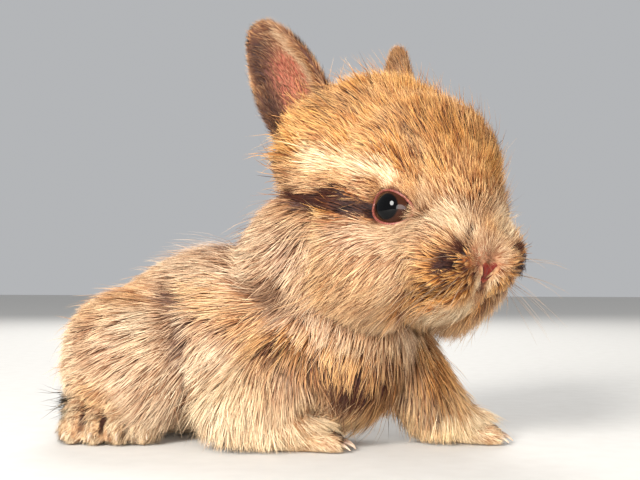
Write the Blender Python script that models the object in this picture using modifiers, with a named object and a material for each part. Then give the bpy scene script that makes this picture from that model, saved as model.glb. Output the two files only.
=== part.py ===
"""A lionhead rabbit kit of about three weeks, life size, standing low on splayed legs.

Metres, +Z up. The trunk points along +X, its left side is +Y, and the floor is Z = 0.
The head is turned towards its right side. Every soft form is an ellipsoid or a tapered
bone given in millimetres, and the forms of one region are blended by a voxel remesh.
"""

import math

import bmesh
import bpy
import numpy as np
from mathutils import Matrix, Vector
from mathutils.bvhtree import BVHTree

MM = 0.001
GAP = 0.3 * MM

# Driving dimensions, in millimetres where no unit is given
HEAD_PLACE = Vector((30.9, 0.5, 58.0)) * MM
HEAD_YAW = math.radians(-32.0)
EYE_RADIUS = 5.2
EYE_PLACE = Vector((14.6, 12.2, -5.4))
EYE_AXIS = Vector((0.34, 0.93, 0.08)).normalized()
LID_RING = 4.5
LID_ROUND = 0.9
EAR_SINK = 5.0
EAR_HALF_WIDTH = 8.8
EAR_WALL = 1.7
EAR_ROUNDING = 0.55
EAR_CUP = 5.5
EAR_ARCH = 1.2
EAR_FORWARD = 2.0
CUTTER_SIZE = 300.0
HELPERS = "Cutters"

# Fineness of the solids
TRUNK_VOXEL = 1.7 * MM
HEAD_VOXEL = 1.4 * MM
LIMB_VOXEL = 0.8 * MM
TRUNK_SMOOTHING = 10
HEAD_SMOOTHING = 7
LIMB_SMOOTHING = 3
TRUNK_TRIANGLES = 1400
HEAD_TRIANGLES = 1150
LEG_TRIANGLES = 520
FOOT_TRIANGLES = 330
TAIL_TRIANGLES = 120
ENVELOPE_TRIANGLES = 9000

# Ellipsoids of the trunk: centre and radii
TRUNK_FORMS = (
    ((-12, 0, 24), (33, 20, 20.5)),
    ((-32, 0, 20), (18, 19, 18)),
    ((15, -2, 24), (17, 16.5, 18)),
    ((12, 0, 46), (16.5, 17, 16.5)),
    ((-31, -16, 18.5), (17, 12, 16)),
    ((-31, 16, 18.5), (17, 12, 16)),
)

# Ellipsoids of the head in its own frame: +X to the nose, +Y to its left
HEAD_FORMS = (
    ((-9, 0, 3), (20, 20, 21.5)),
    ((6, 0, 0.5), (17.5, 17, 17)),
    ((14, 0, -6), (13, 9.5, 11)),
    ((19, 0, -15), (12, 9.5, 9)),
    ((6, 10, -8), (14, 10, 12)),
    ((6, -10, -8), (14, 10, 12)),
    ((3, 10.5, -15), (16, 10.5, 12)),
    ((3, -10.5, -15), (16, 10.5, 12)),
    ((22, 5.5, -15.5), (8, 6.5, 6.5)),
    ((22, -5.5, -15.5), (8, 6.5, 6.5)),
    ((15, 0, -21), (11, 7.5, 6)),
    ((11.5, 9.5, -5), (11, 7.6, 9.5)),
    ((11.5, -9.5, -5), (11, 7.6, 9.5)),
)

# The face in the head's frame: the lip line from its corner, the split lip, and a nostril
MOUTH_LINE = ((24, 6.5, -22.5), (27, 4.2, -22.3), (29, 1.6, -21.8))
LIP_SPLIT = (-17.6, -19.4, -21.4)
NOSTRIL = ((0.7, -17.4), (2.9, -15.4))
LIP_ROUND = 1.0
GROOVE_ROUND = 0.45
NOSTRIL_ROUND = 0.65
AIM_BACK = 6.0

# Ears: where each grows from, where its tip is, and which way its cup opens
EARS = {
    "ear_right": (Vector((-17.5, -15, 16.5)), Vector((-23.6, -24.2, 41.5)), Vector((0.55, -0.83, 0.0))),
    "ear_left": (Vector((-18, 14, 16.5)), Vector((-28, 18, 41)), Vector((0.22, 0.97, 0.0))),
}

# Bones of the limbs: two ends with a radius each, in millimetres
LIMB_BONES = {
    "foreleg_right": (
        ((12, -13, 22), 8.0, (0, -19, 9.5), 7.0),
        ((0, -19, 9.5), 7.0, (8, -17.5, 5), 5.0),
        ((8, -17.5, 5), 5.0, (15, -14, 3.4), 4.2),
    ),
    "foreleg_left": (
        ((24, 7, 24), 8.0, (31, 8, 15), 6.5),
        ((31, 8, 15), 6.5, (37, 9.8, 6), 5.2),
        ((37, 9.8, 6), 5.2, (43, 12, 3.6), 4.4),
    ),
    "hind_foot_right": (((-39, -8, 5), 4.5, (-33, -21, 5.2), 6.0),),
    "hind_foot_left": (((-36, 12, 5), 4.5, (-22, 23, 5.2), 6.0),),
}

# Toes: where they fan out from, the way they point in degrees, their reach, spread and radius
PAW_TOES = {
    "foreleg_right": ((14.5, -14.2, 3.0), 25.0, 6.0, 7.2, 2.3),
    "foreleg_left": ((42.5, 11.8, 3.0), 22.0, 6.4, 7.8, 2.4),
    "hind_foot_right": ((-33.4, -20.5, 4.2), -66.0, 6.6, 13.0, 3.3),
    "hind_foot_left": ((-22.5, 22.6, 4.2), 38.0, 6.6, 13.0, 3.3),
}
TOES = 4

# Tail: centre and radii of the short scut
TAIL = ((-48.5, 1.0, 17.5), (6.5, 6.0, 8.0))
TAIL_ROOT = ((-44.5, 1.0, 15.5), (6.0, 6.0, 6.5))

# Where the neck parts from the torso, and the outline of each haunch
NECK_PLANE_POINT = Vector((-4, 0, 43))
NECK_PLANE_NORMAL = Vector((0.56, 0, 0.83))
HAUNCH_CENTRE = (-33, 17, 16)
HAUNCH_RADII = (19, 14, 19.5)

# Locks of the coat by node: length, width, rise of the tip, spacing of the roots, and seed
LOCKS = {
    "head": (13.0, 6.2, 4.2, 6.4, 10),
    "neck": (15.0, 6.4, 5.4, 6.0, 8),
    "torso": (14.5, 6.6, 3.6, 6.6, 7),
    "haunch_right": (11.5, 6.0, 2.8, 6.4, 8),
    "haunch_left": (11.5, 6.0, 2.8, 6.4, 11),
    "tail": (8.0, 4.6, 2.5, 4.6, 7),
}
LOCK_SINK = 2.2
LOCK_THICKNESS = 1.5
LOCK_LIFT = 0.6
LOCK_STATIONS = (0.0, 0.36, 0.70)
LOCK_BREADTH = (0.8, 1.0, 0.66)
LOCK_SLIDES = (0.0, -1.0, 1.0, -2.0, 2.0, -3.0, 3.0)
LOCK_LIFT_STEP = 0.5
LOCK_CLEARANCE = 0.35 * MM
ROOT_PICKS = 4000
LOWEST_ROOT = 8.0
COAT_FLOOR = 1.2

# Colours in linear light, and roughness
LOOKS = {
    "head": ((0.44, 0.25, 0.11), 0.85),
    "neck": ((0.36, 0.24, 0.15), 0.85),
    "torso": ((0.47, 0.31, 0.18), 0.85),
    "tail": ((0.42, 0.29, 0.19), 0.85),
    "haunch": ((0.50, 0.32, 0.19), 0.85),
    "foreleg": ((0.50, 0.35, 0.21), 0.85),
    "hind_foot": ((0.60, 0.44, 0.28), 0.8),
    "ear": ((0.40, 0.20, 0.12), 0.8),
    "eye": ((0.012, 0.008, 0.007), 0.08),
}


def head_matrix():
    """The head's own frame: +X to the nose, +Y to its left."""
    return Matrix.Translation(HEAD_PLACE) @ Matrix.Rotation(HEAD_YAW, 4, "Z")


def clear_scene():
    for obj in list(bpy.data.objects):
        bpy.data.objects.remove(obj)


def link(name, mesh, collection):
    obj = bpy.data.objects.new(name, mesh)
    collection.objects.link(obj)
    if collection.name == HELPERS:
        obj.hide_render = True
        obj.display_type = "WIRE"
    return obj


def settled(obj):
    """Applies every modifier, so that the object's own mesh is what they make."""
    bpy.context.view_layer.update()
    graph = bpy.context.evaluated_depsgraph_get()
    mesh = bpy.data.meshes.new_from_object(obj.evaluated_get(graph))
    obj.modifiers.clear()
    obj.data = mesh
    return obj


def add_ellipsoid(bm, centre, radii, frame=Matrix(), detail=3):
    place = frame @ Matrix.Translation(Vector(centre) * MM) @ Matrix.Diagonal((*(Vector(radii) * MM), 1.0))
    bmesh.ops.create_icosphere(bm, subdivisions=detail, radius=1.0, matrix=place)


def add_bone(bm, start, start_radius, end, end_radius, links=9):
    """A tapered limb as a run of balls, which the remesh blends."""
    for i in range(links):
        t = i / (links - 1)
        radius = start_radius + (end_radius - start_radius) * t
        add_ellipsoid(bm, Vector(start).lerp(Vector(end), t), (radius,) * 3, detail=2)


def blended(name, bm, collection, voxel, rounds, triangles):
    """Overlapping forms made one closed skin: remeshed, smoothed and thinned out."""
    mesh = bpy.data.meshes.new(name)
    bm.to_mesh(mesh)
    bm.free()
    obj = link(name, mesh, collection)
    remesh = obj.modifiers.new("blend", "REMESH")
    remesh.mode = "VOXEL"
    remesh.voxel_size = voxel
    smooth = obj.modifiers.new("smooth", "SMOOTH")
    smooth.factor = 0.5
    smooth.iterations = rounds
    settled(obj)
    thin = obj.modifiers.new("thin", "DECIMATE")
    thin.ratio = min(1.0, triangles / (2.0 * len(obj.data.polygons)))
    return settled(obj)


def grown(obj, distance):
    """A hidden copy with every vertex moved out along its normal."""
    mesh = obj.data.copy()
    mesh.update()
    normals = [v.normal.copy() for v in mesh.vertices]
    for vertex, normal in zip(mesh.vertices, normals):
        vertex.co += normal * distance
    return link(obj.name + "_grown", mesh, bpy.data.collections[HELPERS])


def joined(obj, operation, others, solver="EXACT"):
    """One Boolean on a collection of closed meshes, applied, with the meshes then removed."""
    group = bpy.data.collections.new(obj.name + " pieces")
    bpy.context.scene.collection.children.link(group)
    for other in others:
        for home in list(other.users_collection):
            home.objects.unlink(other)
        group.objects.link(other)
    boolean = obj.modifiers.new("join", "BOOLEAN")
    boolean.operation = operation
    boolean.solver = solver
    boolean.operand_type = "COLLECTION"
    boolean.collection = group
    settled(obj)
    for other in others:
        bpy.data.objects.remove(other)
    bpy.data.collections.remove(group)
    return obj


def keep_largest(obj):
    """Keeps only the largest closed surface of the mesh."""
    bm = bmesh.new()
    bm.from_mesh(obj.data)
    left = set(bm.faces)
    shells = []
    while left:
        stack = [left.pop()]
        shell = list(stack)
        while stack:
            for edge in stack.pop().edges:
                for face in edge.link_faces:
                    if face in left:
                        left.remove(face)
                        stack.append(face)
                        shell.append(face)
        shells.append(shell)
    shells.sort(key=lambda shell: sum(face.calc_area() for face in shell))
    loose = [face for shell in shells[:-1] for face in shell]
    bmesh.ops.delete(bm, geom=loose, context="FACES")
    bm.to_mesh(obj.data)
    bm.free()
    return obj


def tree_of(obj):
    bm = bmesh.new()
    bm.from_mesh(obj.data)
    tree = BVHTree.FromBMesh(bm)
    bm.free()
    return tree


def half_space(name, point, normal, back=0.0):
    """A large box that fills the side the normal points to, moved back by so much."""
    turn = normal.to_track_quat("Z", "Y").to_matrix().to_4x4()
    spot = (Vector(point) - normal.normalized() * back) * MM
    lift = Matrix.Translation((0, 0, CUTTER_SIZE / 2 * MM))
    return cutter_box(name, Matrix.Translation(spot) @ turn @ lift, (CUTTER_SIZE,) * 3)


def cutter_box(name, place, size):
    bm = bmesh.new()
    bmesh.ops.create_cube(bm, size=1.0, matrix=place @ Matrix.Diagonal((*(Vector(size) * MM), 1.0)))
    mesh = bpy.data.meshes.new(name)
    bm.to_mesh(mesh)
    bm.free()
    return link(name, mesh, bpy.data.collections[HELPERS])


def flat_floor(obj):
    """Cuts away whatever is under the floor, which leaves a flat sole."""
    place = Matrix.Translation(Vector((0, 0, -CUTTER_SIZE / 2)) * MM)
    return joined(obj, "DIFFERENCE", [cutter_box("floor", place, (CUTTER_SIZE,) * 3)])


def trunk_whole(collection):
    bm = bmesh.new()
    for centre, radii in TRUNK_FORMS:
        add_ellipsoid(bm, centre, radii)
    return blended("trunk", bm, collection, TRUNK_VOXEL, TRUNK_SMOOTHING, TRUNK_TRIANGLES)


def head_whole(collection):
    bm = bmesh.new()
    for centre, radii in HEAD_FORMS:
        add_ellipsoid(bm, centre, radii, head_matrix())
    return blended("head", bm, collection, HEAD_VOXEL, HEAD_SMOOTHING, HEAD_TRIANGLES)


def limb(name, collection):
    bm = bmesh.new()
    for bone in LIMB_BONES[name]:
        add_bone(bm, *bone)
    if name in PAW_TOES:
        root, heading, reach, spread, radius = PAW_TOES[name]
        ahead = Vector((math.cos(math.radians(heading)), math.sin(math.radians(heading)), 0))
        across = Vector((-ahead.y, ahead.x, 0))
        for i in range(TOES):
            side = i / (TOES - 1) - 0.5
            start = Vector(root) + across * spread * 0.75 * side
            end = Vector(root) + across * spread * side + ahead * reach * (1 - 0.9 * side * side)
            end.z = radius * 0.92
            add_bone(bm, start, radius, end, radius, links=5)
    triangles = LEG_TRIANGLES if name.startswith("foreleg") else FOOT_TRIANGLES
    return blended(name, bm, collection, LIMB_VOXEL, LIMB_SMOOTHING, triangles)


def eye_frame(side):
    """Where an eyeball is, with +Z along the way it looks; side is +1 left, -1 right."""
    place = Vector((EYE_PLACE.x, EYE_PLACE.y * side, EYE_PLACE.z)) * MM
    axis = Vector((EYE_AXIS.x, EYE_AXIS.y * side, EYE_AXIS.z))
    return head_matrix() @ Matrix.Translation(place) @ axis.to_track_quat("Z", "Y").to_matrix().to_4x4()


def eyeball(name, side, collection, extra=0.0):
    bm = bmesh.new()
    scale = Matrix.Scale((EYE_RADIUS + extra) * MM, 4)
    bmesh.ops.create_uvsphere(bm, u_segments=16, v_segments=9, radius=1.0, matrix=eye_frame(side) @ scale)
    mesh = bpy.data.meshes.new(name)
    bm.to_mesh(mesh)
    bm.free()
    return link(name, mesh, collection)


def eyelids(name, side, collection):
    """The rim of the lids, a ring on the edge of the eyeball's visible cap."""
    height = math.sqrt((EYE_RADIUS + GAP / MM) ** 2 - LID_RING**2)
    bpy.ops.mesh.primitive_torus_add(
        major_segments=16, minor_segments=6, major_radius=LID_RING * MM, minor_radius=LID_ROUND * MM
    )
    ring = bpy.context.object
    mesh = ring.data
    mesh.transform(eye_frame(side) @ Matrix.Translation((0, 0, height * MM)))
    bpy.data.objects.remove(ring)
    return link(name, mesh, collection)


def tube(name, points, radius, collection):
    """A round bead along points of the head's frame, as a closed mesh."""
    data = bpy.data.curves.new(name, "CURVE")
    data.dimensions = "3D"
    data.bevel_depth = radius * MM
    data.bevel_resolution = 1
    data.use_fill_caps = True
    spline = data.splines.new("POLY")
    spline.points.add(len(points) - 1)
    for spot, point in zip(spline.points, points):
        spot.co = (*(Vector(point) * MM), 1.0)
    curve = bpy.data.objects.new(name, data)
    bpy.context.scene.collection.objects.link(curve)
    curve.matrix_world = head_matrix()
    bpy.context.view_layer.update()
    mesh = bpy.data.meshes.new_from_object(curve.evaluated_get(bpy.context.evaluated_depsgraph_get()))
    mesh.transform(head_matrix())
    bpy.data.objects.remove(curve)
    bm = bmesh.new()
    bm.from_mesh(mesh)
    bmesh.ops.remove_doubles(bm, verts=bm.verts, dist=1e-6)
    bmesh.ops.recalc_face_normals(bm, faces=bm.faces)
    bm.to_mesh(mesh)
    bm.free()
    return link(name, mesh, collection)


def on_surface(tree, point, outwards, lift=0.0):
    """The point of the head's skin that a ray from outside meets on its way to point."""
    matrix = head_matrix()
    target = matrix @ (Vector(point) * MM)
    away = (matrix.to_3x3() @ Vector(outwards)).normalized()
    hit, normal, _, _ = tree.ray_cast(target + away * 40 * MM, -away)
    place = (hit if hit else target) + away * lift * MM
    return (matrix.inverted() @ place) / MM


def mouth_points(tree, lift):
    """The line of the lips, from one corner of the mouth to the other."""
    line = []
    for forward, left, up in MOUTH_LINE:
        aim = (forward - AIM_BACK, left * 0.4, up)
        line.append(on_surface(tree, aim, (0.8, 0.12 * left, -0.25), lift))
    other = [Vector((p.x, -p.y, p.z)) for p in reversed(line)]
    return line + other


def face_details(head):
    """Lids, sockets, nostrils, the split of the upper lip and the line of the mouth."""
    tree = tree_of(head)
    helpers = bpy.data.collections[HELPERS]
    rims = [eyelids("lid_rim", side, helpers) for side in (-1, 1)]
    lips = tube("lips", mouth_points(tree, -0.2), LIP_ROUND, helpers)
    joined(head, "UNION", [*rims, lips])
    cuts = [eyeball("socket", side, helpers, extra=GAP / MM) for side in (-1, 1)]
    cuts.append(tube("mouth", mouth_points(tree, 0.75), GROOVE_ROUND, helpers))
    split = [on_surface(tree, (24, 0, up), (1, 0, -0.1), 0.1) for up in LIP_SPLIT]
    cuts.append(tube("lip_split", split, GROOVE_ROUND, helpers))
    for side in (-1, 1):
        slit = [on_surface(tree, (24, side * left, up), (1, 0.2 * side, 0)) for left, up in NOSTRIL]
        cuts.append(tube("nostril", slit, NOSTRIL_ROUND, helpers))
    return keep_largest(joined(head, "DIFFERENCE", cuts))


def ear(name, collection):
    """A cupped leaf: a grid bent to its outline, given its wall by Solidify."""
    base, tip, opening = EARS[name]
    axis = (tip - base).normalized()
    base = base - axis * EAR_SINK
    length = (tip - base).length
    facing = (opening - axis * opening.dot(axis)).normalized()
    across = axis.cross(facing)
    bm = bmesh.new()
    bmesh.ops.create_grid(bm, x_segments=6, y_segments=9, size=1.0)
    for vertex in bm.verts:
        q, s = vertex.co.x, (vertex.co.y + 1) / 2
        width = EAR_HALF_WIDTH * math.sin(math.pi * (0.17 + 0.79 * s)) ** EAR_ROUNDING
        cup = EAR_CUP * (1 - 0.85 * s) * (1 - q * q) + EAR_ARCH * math.sin(math.pi * s)
        along = length * (s - 0.05 * q * q * s)
        spot = base + axis * along + across * width * q - facing * (cup - EAR_FORWARD)
        vertex.co = head_matrix() @ (spot * MM)
    mesh = bpy.data.meshes.new(name)
    bm.to_mesh(mesh)
    bm.free()
    obj = link(name, mesh, collection)
    wall = obj.modifiers.new("wall", "SOLIDIFY")
    wall.thickness = EAR_WALL * MM
    wall.offset = 0.0
    return settled(obj)


def copy_of(obj, name, collection):
    return link(name, obj.data.copy(), collection)


def haunch_cutter(side, extra=0.0):
    """The outline of a haunch, made larger all round by the extra millimetres."""
    x, y, z = HAUNCH_CENTRE
    bm = bmesh.new()
    add_ellipsoid(bm, (x, y * side, z), Vector(HAUNCH_RADII) + Vector((extra,) * 3))
    mesh = bpy.data.meshes.new("haunch_outline")
    bm.to_mesh(mesh)
    bm.free()
    return link("haunch_outline", mesh, bpy.data.collections[HELPERS])


def part_trunk(trunk, head_clear, collection):
    """Cuts the trunk into neck, torso and two haunches with a fine gap between them."""
    gap = GAP / MM
    helpers = bpy.data.collections[HELPERS]
    for side, word in ((-1, "right"), (1, "left")):
        haunch = copy_of(trunk, "haunch_" + word, collection)
        keep_largest(joined(haunch, "INTERSECT", [haunch_cutter(side)]))
    neck = copy_of(trunk, "neck", collection)
    joined(neck, "INTERSECT", [half_space("above", NECK_PLANE_POINT, NECK_PLANE_NORMAL, -gap / 2)])
    keep_largest(joined(neck, "DIFFERENCE", [copy_of(head_clear, "clear", helpers)]))
    torso = copy_of(trunk, "torso", collection)
    joined(torso, "DIFFERENCE", [half_space("above", NECK_PLANE_POINT, NECK_PLANE_NORMAL, gap / 2)])
    joined(torso, "DIFFERENCE", [haunch_cutter(side, gap) for side in (-1, 1)])
    keep_largest(joined(torso, "DIFFERENCE", [copy_of(head_clear, "clear", helpers)]))


def tail(collection):
    bm = bmesh.new()
    add_ellipsoid(bm, *TAIL)
    add_ellipsoid(bm, *TAIL_ROOT)
    return blended("tail", bm, collection, LIMB_VOXEL, LIMB_SMOOTHING, TAIL_TRIANGLES)


def envelope(bodies, collection):
    """One closed surface around all the bodies, for the coat to lie along."""
    bm = bmesh.new()
    for body in bodies:
        bm.from_mesh(body.data)
    return blended("envelope", bm, collection, TRUNK_VOXEL, LIMB_SMOOTHING, ENVELOPE_TRIANGLES)


def clamp(value):
    return min(1.0, max(0.0, value))


def lie(name, spot):
    """The way the coat lies at a place, whether a lock may root there, and how it flares."""
    x, y, z = spot / MM
    if name == "head":
        inside = head_matrix().inverted()
        f, l, u = (inside @ spot) / MM
        here = f < -14 + (20 - u) * 0.55 and u < 18
        way = Vector((-1.0, 0.12 * l / 15, -0.25 - 0.5 * clamp(-u / 20)))
        return head_matrix().to_3x3() @ way, here, 1 + 0.9 * clamp((-8 - f) / 10)
    if name == "neck":
        return Vector((-1.0, y / 40, -0.25 - 0.7 * clamp((46 - z) / 14))), True, 1.0
    if name == "tail":
        return Vector((-1.0, 0.0, 0.5)), True, 1.0
    if name.startswith("haunch"):
        return Vector((-1.0, 0.0, -0.25)), z > LOWEST_ROOT, 1.0
    chest = clamp((x - 6) / 12)
    flank = clamp((36 - z) / 22)
    back = Vector((-1.0, 0.0, -0.2 - 0.9 * flank))
    return back.lerp(Vector((-0.25, 0.0, -1.0)), chest), z > LOWEST_ROOT, 1.0


def roots_on(obj, ground, spacing, rng):
    """Places spread at random over the part of a node that shows, a spacing apart."""
    mesh = obj.data
    mesh.calc_loop_triangles()
    corners = np.array([[mesh.vertices[i].co for i in tri.vertices] for tri in mesh.loop_triangles])
    areas = np.linalg.norm(np.cross(corners[:, 1] - corners[:, 0], corners[:, 2] - corners[:, 0]), axis=1)
    picks = rng.choice(len(corners), size=ROOT_PICKS, p=areas / areas.sum())
    weights = rng.dirichlet((1, 1, 1), size=len(picks))
    found = []
    for spot in np.einsum("ij,ijk->ik", weights, corners[picks]):
        spot = Vector(spot)
        near, _, _, away = ground.find_nearest(spot)
        if away > 0.6 * MM or not lie(obj.name, near)[1]:
            continue
        if all((near - other).length > spacing * MM for other in found):
            found.append(near)
    return found


def lock_rings(name, root, ground, length, width, rise, bend):
    """Rings of a flat lock that follows the ground, sunk at its root and lifted at its tip."""
    stops = (*LOCK_STATIONS, 1.0)
    here, normal, _, _ = ground.find_nearest(root)
    rings = []
    for i, stop in enumerate(stops):
        way, _, flare = lie(name, here)
        way.rotate(Matrix.Rotation(bend * stop, 3, normal))
        way = (way - normal * way.dot(normal)).normalized()
        height = -LOCK_SINK + (rise * flare + LOCK_SINK) * stop**LOCK_LIFT
        spot = here + normal * height * MM
        side = way.cross(normal)
        if i == len(LOCK_STATIONS):
            rings.append([spot])
            break
        half = width * LOCK_BREADTH[i] / 2 * MM
        thick = LOCK_THICKNESS * (1 - 0.45 * stop) * MM
        under, over = normal * thick * 0.4, normal * thick * 0.6
        rings.append([spot - side * half, spot - under, spot + side * half, spot + over])
        step = (stops[i + 1] - stop) * length * MM
        here, normal, _, _ = ground.find_nearest(here + way * step)
    return rings


def lock_faces():
    """The faces of a lock's rings of four and its tip, all facing outwards."""
    faces = [(0, 1, 2, 3)]
    for i in range(len(LOCK_STATIONS) - 1):
        for k in range(4):
            a, b = 4 * i + k, 4 * i + (k + 1) % 4
            faces.append((a + 4, b + 4, b, a))
    last = 4 * (len(LOCK_STATIONS) - 1)
    for k in range(4):
        faces.append((last + 4, last + (k + 1) % 4, last + k))
    return faces


def swollen(points, amount):
    middle = sum(points, Vector()) / len(points)
    return [p + (p - middle).normalized() * amount for p in points]


def add_locks(obj, ground, others, collection):
    """Gives a node its locks, each bent or shortened until it clears every other node."""
    length, width, rise, spacing, seed = LOCKS[obj.name]
    rng = np.random.default_rng(seed)
    faces = lock_faces()
    locks = []
    roots = roots_on(obj, ground, spacing, rng)
    for root in roots:
        size = rng.uniform(0.85, 1.15)
        bend = rng.uniform(-0.35, 0.35)
        for attempt in range(len(LOCK_SLIDES)):
            shorter = 1 - 0.09 * attempt
            bend += rng.uniform(-0.2, 0.2) * attempt
            slid = root + lie(obj.name, root)[0].normalized() * LOCK_SLIDES[attempt] * MM
            reach = length * size * shorter
            lifted = rise * size + LOCK_LIFT_STEP * attempt
            rings = lock_rings(obj.name, slid, ground, reach, width * size, lifted, bend)
            points = [p for ring in rings for p in ring]
            low = min(p.z for p in points)
            fat = [p for ring in rings[:-1] for p in swollen(ring, LOCK_CLEARANCE)] + rings[-1]
            probe = BVHTree.FromPolygons(fat, faces)
            if low > COAT_FLOOR * MM and not any(tree.overlap(probe) for tree in others):
                break
        else:
            continue
        mesh = bpy.data.meshes.new("lock")
        mesh.from_pydata(points, [], faces)
        locks.append(link("lock", mesh, collection))
    print(obj.name, len(locks), "locks of", len(roots))
    return keep_largest(joined(obj, "UNION", locks, "MANIFOLD"))


def dress(obj):
    """The node's own material, and shading that stays sharp only at cut edges."""
    material = bpy.data.materials.new(obj.name)
    material.use_nodes = True
    shader = material.node_tree.nodes["Principled BSDF"]
    colour, roughness = next(look for kind, look in LOOKS.items() if obj.name.startswith(kind))
    shader.inputs["Base Color"].default_value = (*colour, 1.0)
    shader.inputs["Roughness"].default_value = roughness
    shader.inputs["Metallic"].default_value = 0.0
    obj.data.materials.clear()
    obj.data.materials.append(material)
    obj.data.polygons.foreach_set("use_smooth", [True] * len(obj.data.polygons))
    obj.data.set_sharp_from_angle(angle=math.radians(50))


def centre_over_floor(objects):
    """Moves every mesh alike, so that the middle of the whole is over the origin."""
    corners = [v.co for obj in objects for v in obj.data.vertices]
    low = Vector([min(c[i] for c in corners) for i in range(3)])
    high = Vector([max(c[i] for c in corners) for i in range(3)])
    shift = Vector((-(low.x + high.x) / 2, -(low.y + high.y) / 2, -low.z))
    for obj in objects:
        obj.data.transform(Matrix.Translation(shift))
    print("moved by", [round(c / MM, 3) for c in shift])


def main():
    clear_scene()
    rabbit = bpy.data.collections.new("Lionhead rabbit")
    cutters = bpy.data.collections.new(HELPERS)
    cutters.hide_render = True
    for collection in (rabbit, cutters):
        bpy.context.scene.collection.children.link(collection)
    trunk = trunk_whole(cutters)
    head = head_whole(rabbit)
    head_clear = grown(head, GAP)
    trunk_clear = grown(trunk, GAP)
    part_trunk(trunk, head_clear, rabbit)
    face_details(head)
    for side, word in ((-1, "right"), (1, "left")):
        eyeball("eye_" + word, side, rabbit)
    for name in EARS:
        keep_largest(joined(ear(name, rabbit), "DIFFERENCE", [copy_of(head_clear, "clear", cutters)]))
    for name in LIMB_BONES:
        leg = flat_floor(limb(name, rabbit))
        clear = [copy_of(body, "clear", cutters) for body in (trunk_clear, head_clear)]
        keep_largest(joined(leg, "DIFFERENCE", clear))
    scut = tail(rabbit)
    keep_largest(joined(scut, "DIFFERENCE", [copy_of(trunk_clear, "clear", cutters)]))
    bodies = [trunk, head, scut] + [bpy.data.objects[name] for name in LIMB_BONES]
    ground = tree_of(envelope(bodies, cutters))
    for name in LOCKS:
        others = [tree_of(obj) for obj in rabbit.objects if obj.name != name]
        add_locks(bpy.data.objects[name], ground, others, cutters)
    for helper in list(cutters.objects):
        bpy.data.objects.remove(helper)
    nodes = list(rabbit.objects)
    for obj in nodes:
        dress(obj)
    centre_over_floor(nodes)


if __name__ == "__main__":
    main()
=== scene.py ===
# %% [markdown]
# # A lionhead rabbit kit, about three weeks old
# At this age the rabbit is mostly coat: a round head with a ruff, short wide ears, and a low body
# on splayed legs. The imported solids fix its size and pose. Everything below is dressed onto them:
# one skin, well over a hundred thousand tufts of fur that grow from it, the eyes, nose, lids, whiskers
# and claws. The solids come first, because each piece is measured from them.

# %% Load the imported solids
import math

import bmesh
import bpy
import numpy as np
from mathutils import Matrix, Vector
from mathutils.bvhtree import BVHTree
from mathutils.kdtree import KDTree


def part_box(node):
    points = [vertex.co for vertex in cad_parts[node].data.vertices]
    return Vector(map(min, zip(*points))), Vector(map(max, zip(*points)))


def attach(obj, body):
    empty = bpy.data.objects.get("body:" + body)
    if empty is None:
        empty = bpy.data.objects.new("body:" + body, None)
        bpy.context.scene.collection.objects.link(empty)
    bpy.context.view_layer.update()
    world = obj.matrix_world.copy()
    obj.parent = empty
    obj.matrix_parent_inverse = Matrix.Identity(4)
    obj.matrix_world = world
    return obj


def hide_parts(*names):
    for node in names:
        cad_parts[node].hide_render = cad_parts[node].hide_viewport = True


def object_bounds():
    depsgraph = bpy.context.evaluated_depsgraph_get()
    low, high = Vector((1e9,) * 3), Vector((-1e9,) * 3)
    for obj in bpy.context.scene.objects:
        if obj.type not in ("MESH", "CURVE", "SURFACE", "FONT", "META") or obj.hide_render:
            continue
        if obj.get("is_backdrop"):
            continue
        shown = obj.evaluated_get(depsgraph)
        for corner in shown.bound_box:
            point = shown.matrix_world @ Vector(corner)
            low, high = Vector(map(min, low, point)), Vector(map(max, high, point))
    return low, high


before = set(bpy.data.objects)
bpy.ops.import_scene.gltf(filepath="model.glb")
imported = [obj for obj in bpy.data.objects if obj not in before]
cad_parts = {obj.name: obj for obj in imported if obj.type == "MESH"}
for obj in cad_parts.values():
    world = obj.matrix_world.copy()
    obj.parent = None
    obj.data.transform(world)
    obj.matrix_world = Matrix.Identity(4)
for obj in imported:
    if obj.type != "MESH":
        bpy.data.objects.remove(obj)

MM = 0.001
solids_box = [[float(c) for c in corner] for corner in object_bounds()]
print("solids reach from", np.round(solids_box[0], 4), "to", np.round(solids_box[1], 4))

# %% [markdown]
# The head sits on the body like a ball turned to its right, so it is easiest to build in a frame
# of its own: +X to the nose, +Y to its left cheek, +Z to the crown, all in millimetres. One eye of
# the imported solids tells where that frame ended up, and every other place follows from it.

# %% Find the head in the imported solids
HEAD_PLACE = Vector((30.9, 0.5, 58.0))
HEAD_YAW = math.radians(-32.0)
EYE_PLACE = Vector((14.6, 12.2, -5.4))
EYE_AXIS = Vector((0.34, 0.93, 0.08)).normalized()
EYE_RADIUS = 5.2
head_turn = Matrix.Rotation(HEAD_YAW, 3, "Z")
HEAD_ROWS = np.array(head_turn)
HEAD_SPOT = np.array(HEAD_PLACE)


def from_head(points):
    """Points of the head's frame as points of the body's frame."""
    return np.asarray(points, float) @ HEAD_ROWS.T + HEAD_SPOT


def to_head(points):
    """Points of the body's frame as points of the head's frame."""
    return (np.asarray(points, float) - HEAD_SPOT) @ HEAD_ROWS


def head_way(ways):
    """Directions of the head's frame as directions of the body's frame."""
    return np.array(ways, float) @ HEAD_ROWS.T


def eye_middle(side):
    """The middle of an eye in the body's frame: side -1 is the right one, 1 the left."""
    return Vector(from_head((EYE_PLACE.x, EYE_PLACE.y * side, EYE_PLACE.z)))


eye_low, eye_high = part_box("eye_right")
SHIFT = (eye_low + eye_high) / 2 - eye_middle(-1) * MM
print("the solids are moved by", [round(c / MM, 2) for c in SHIFT], "mm")

# %% [markdown]
# The photograph was taken from the rabbit's right, almost at floor level, with the lens about a
# quarter of a metre away. The camera repeats that. Depth of field stays off, so every tuft is sharp.

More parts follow.
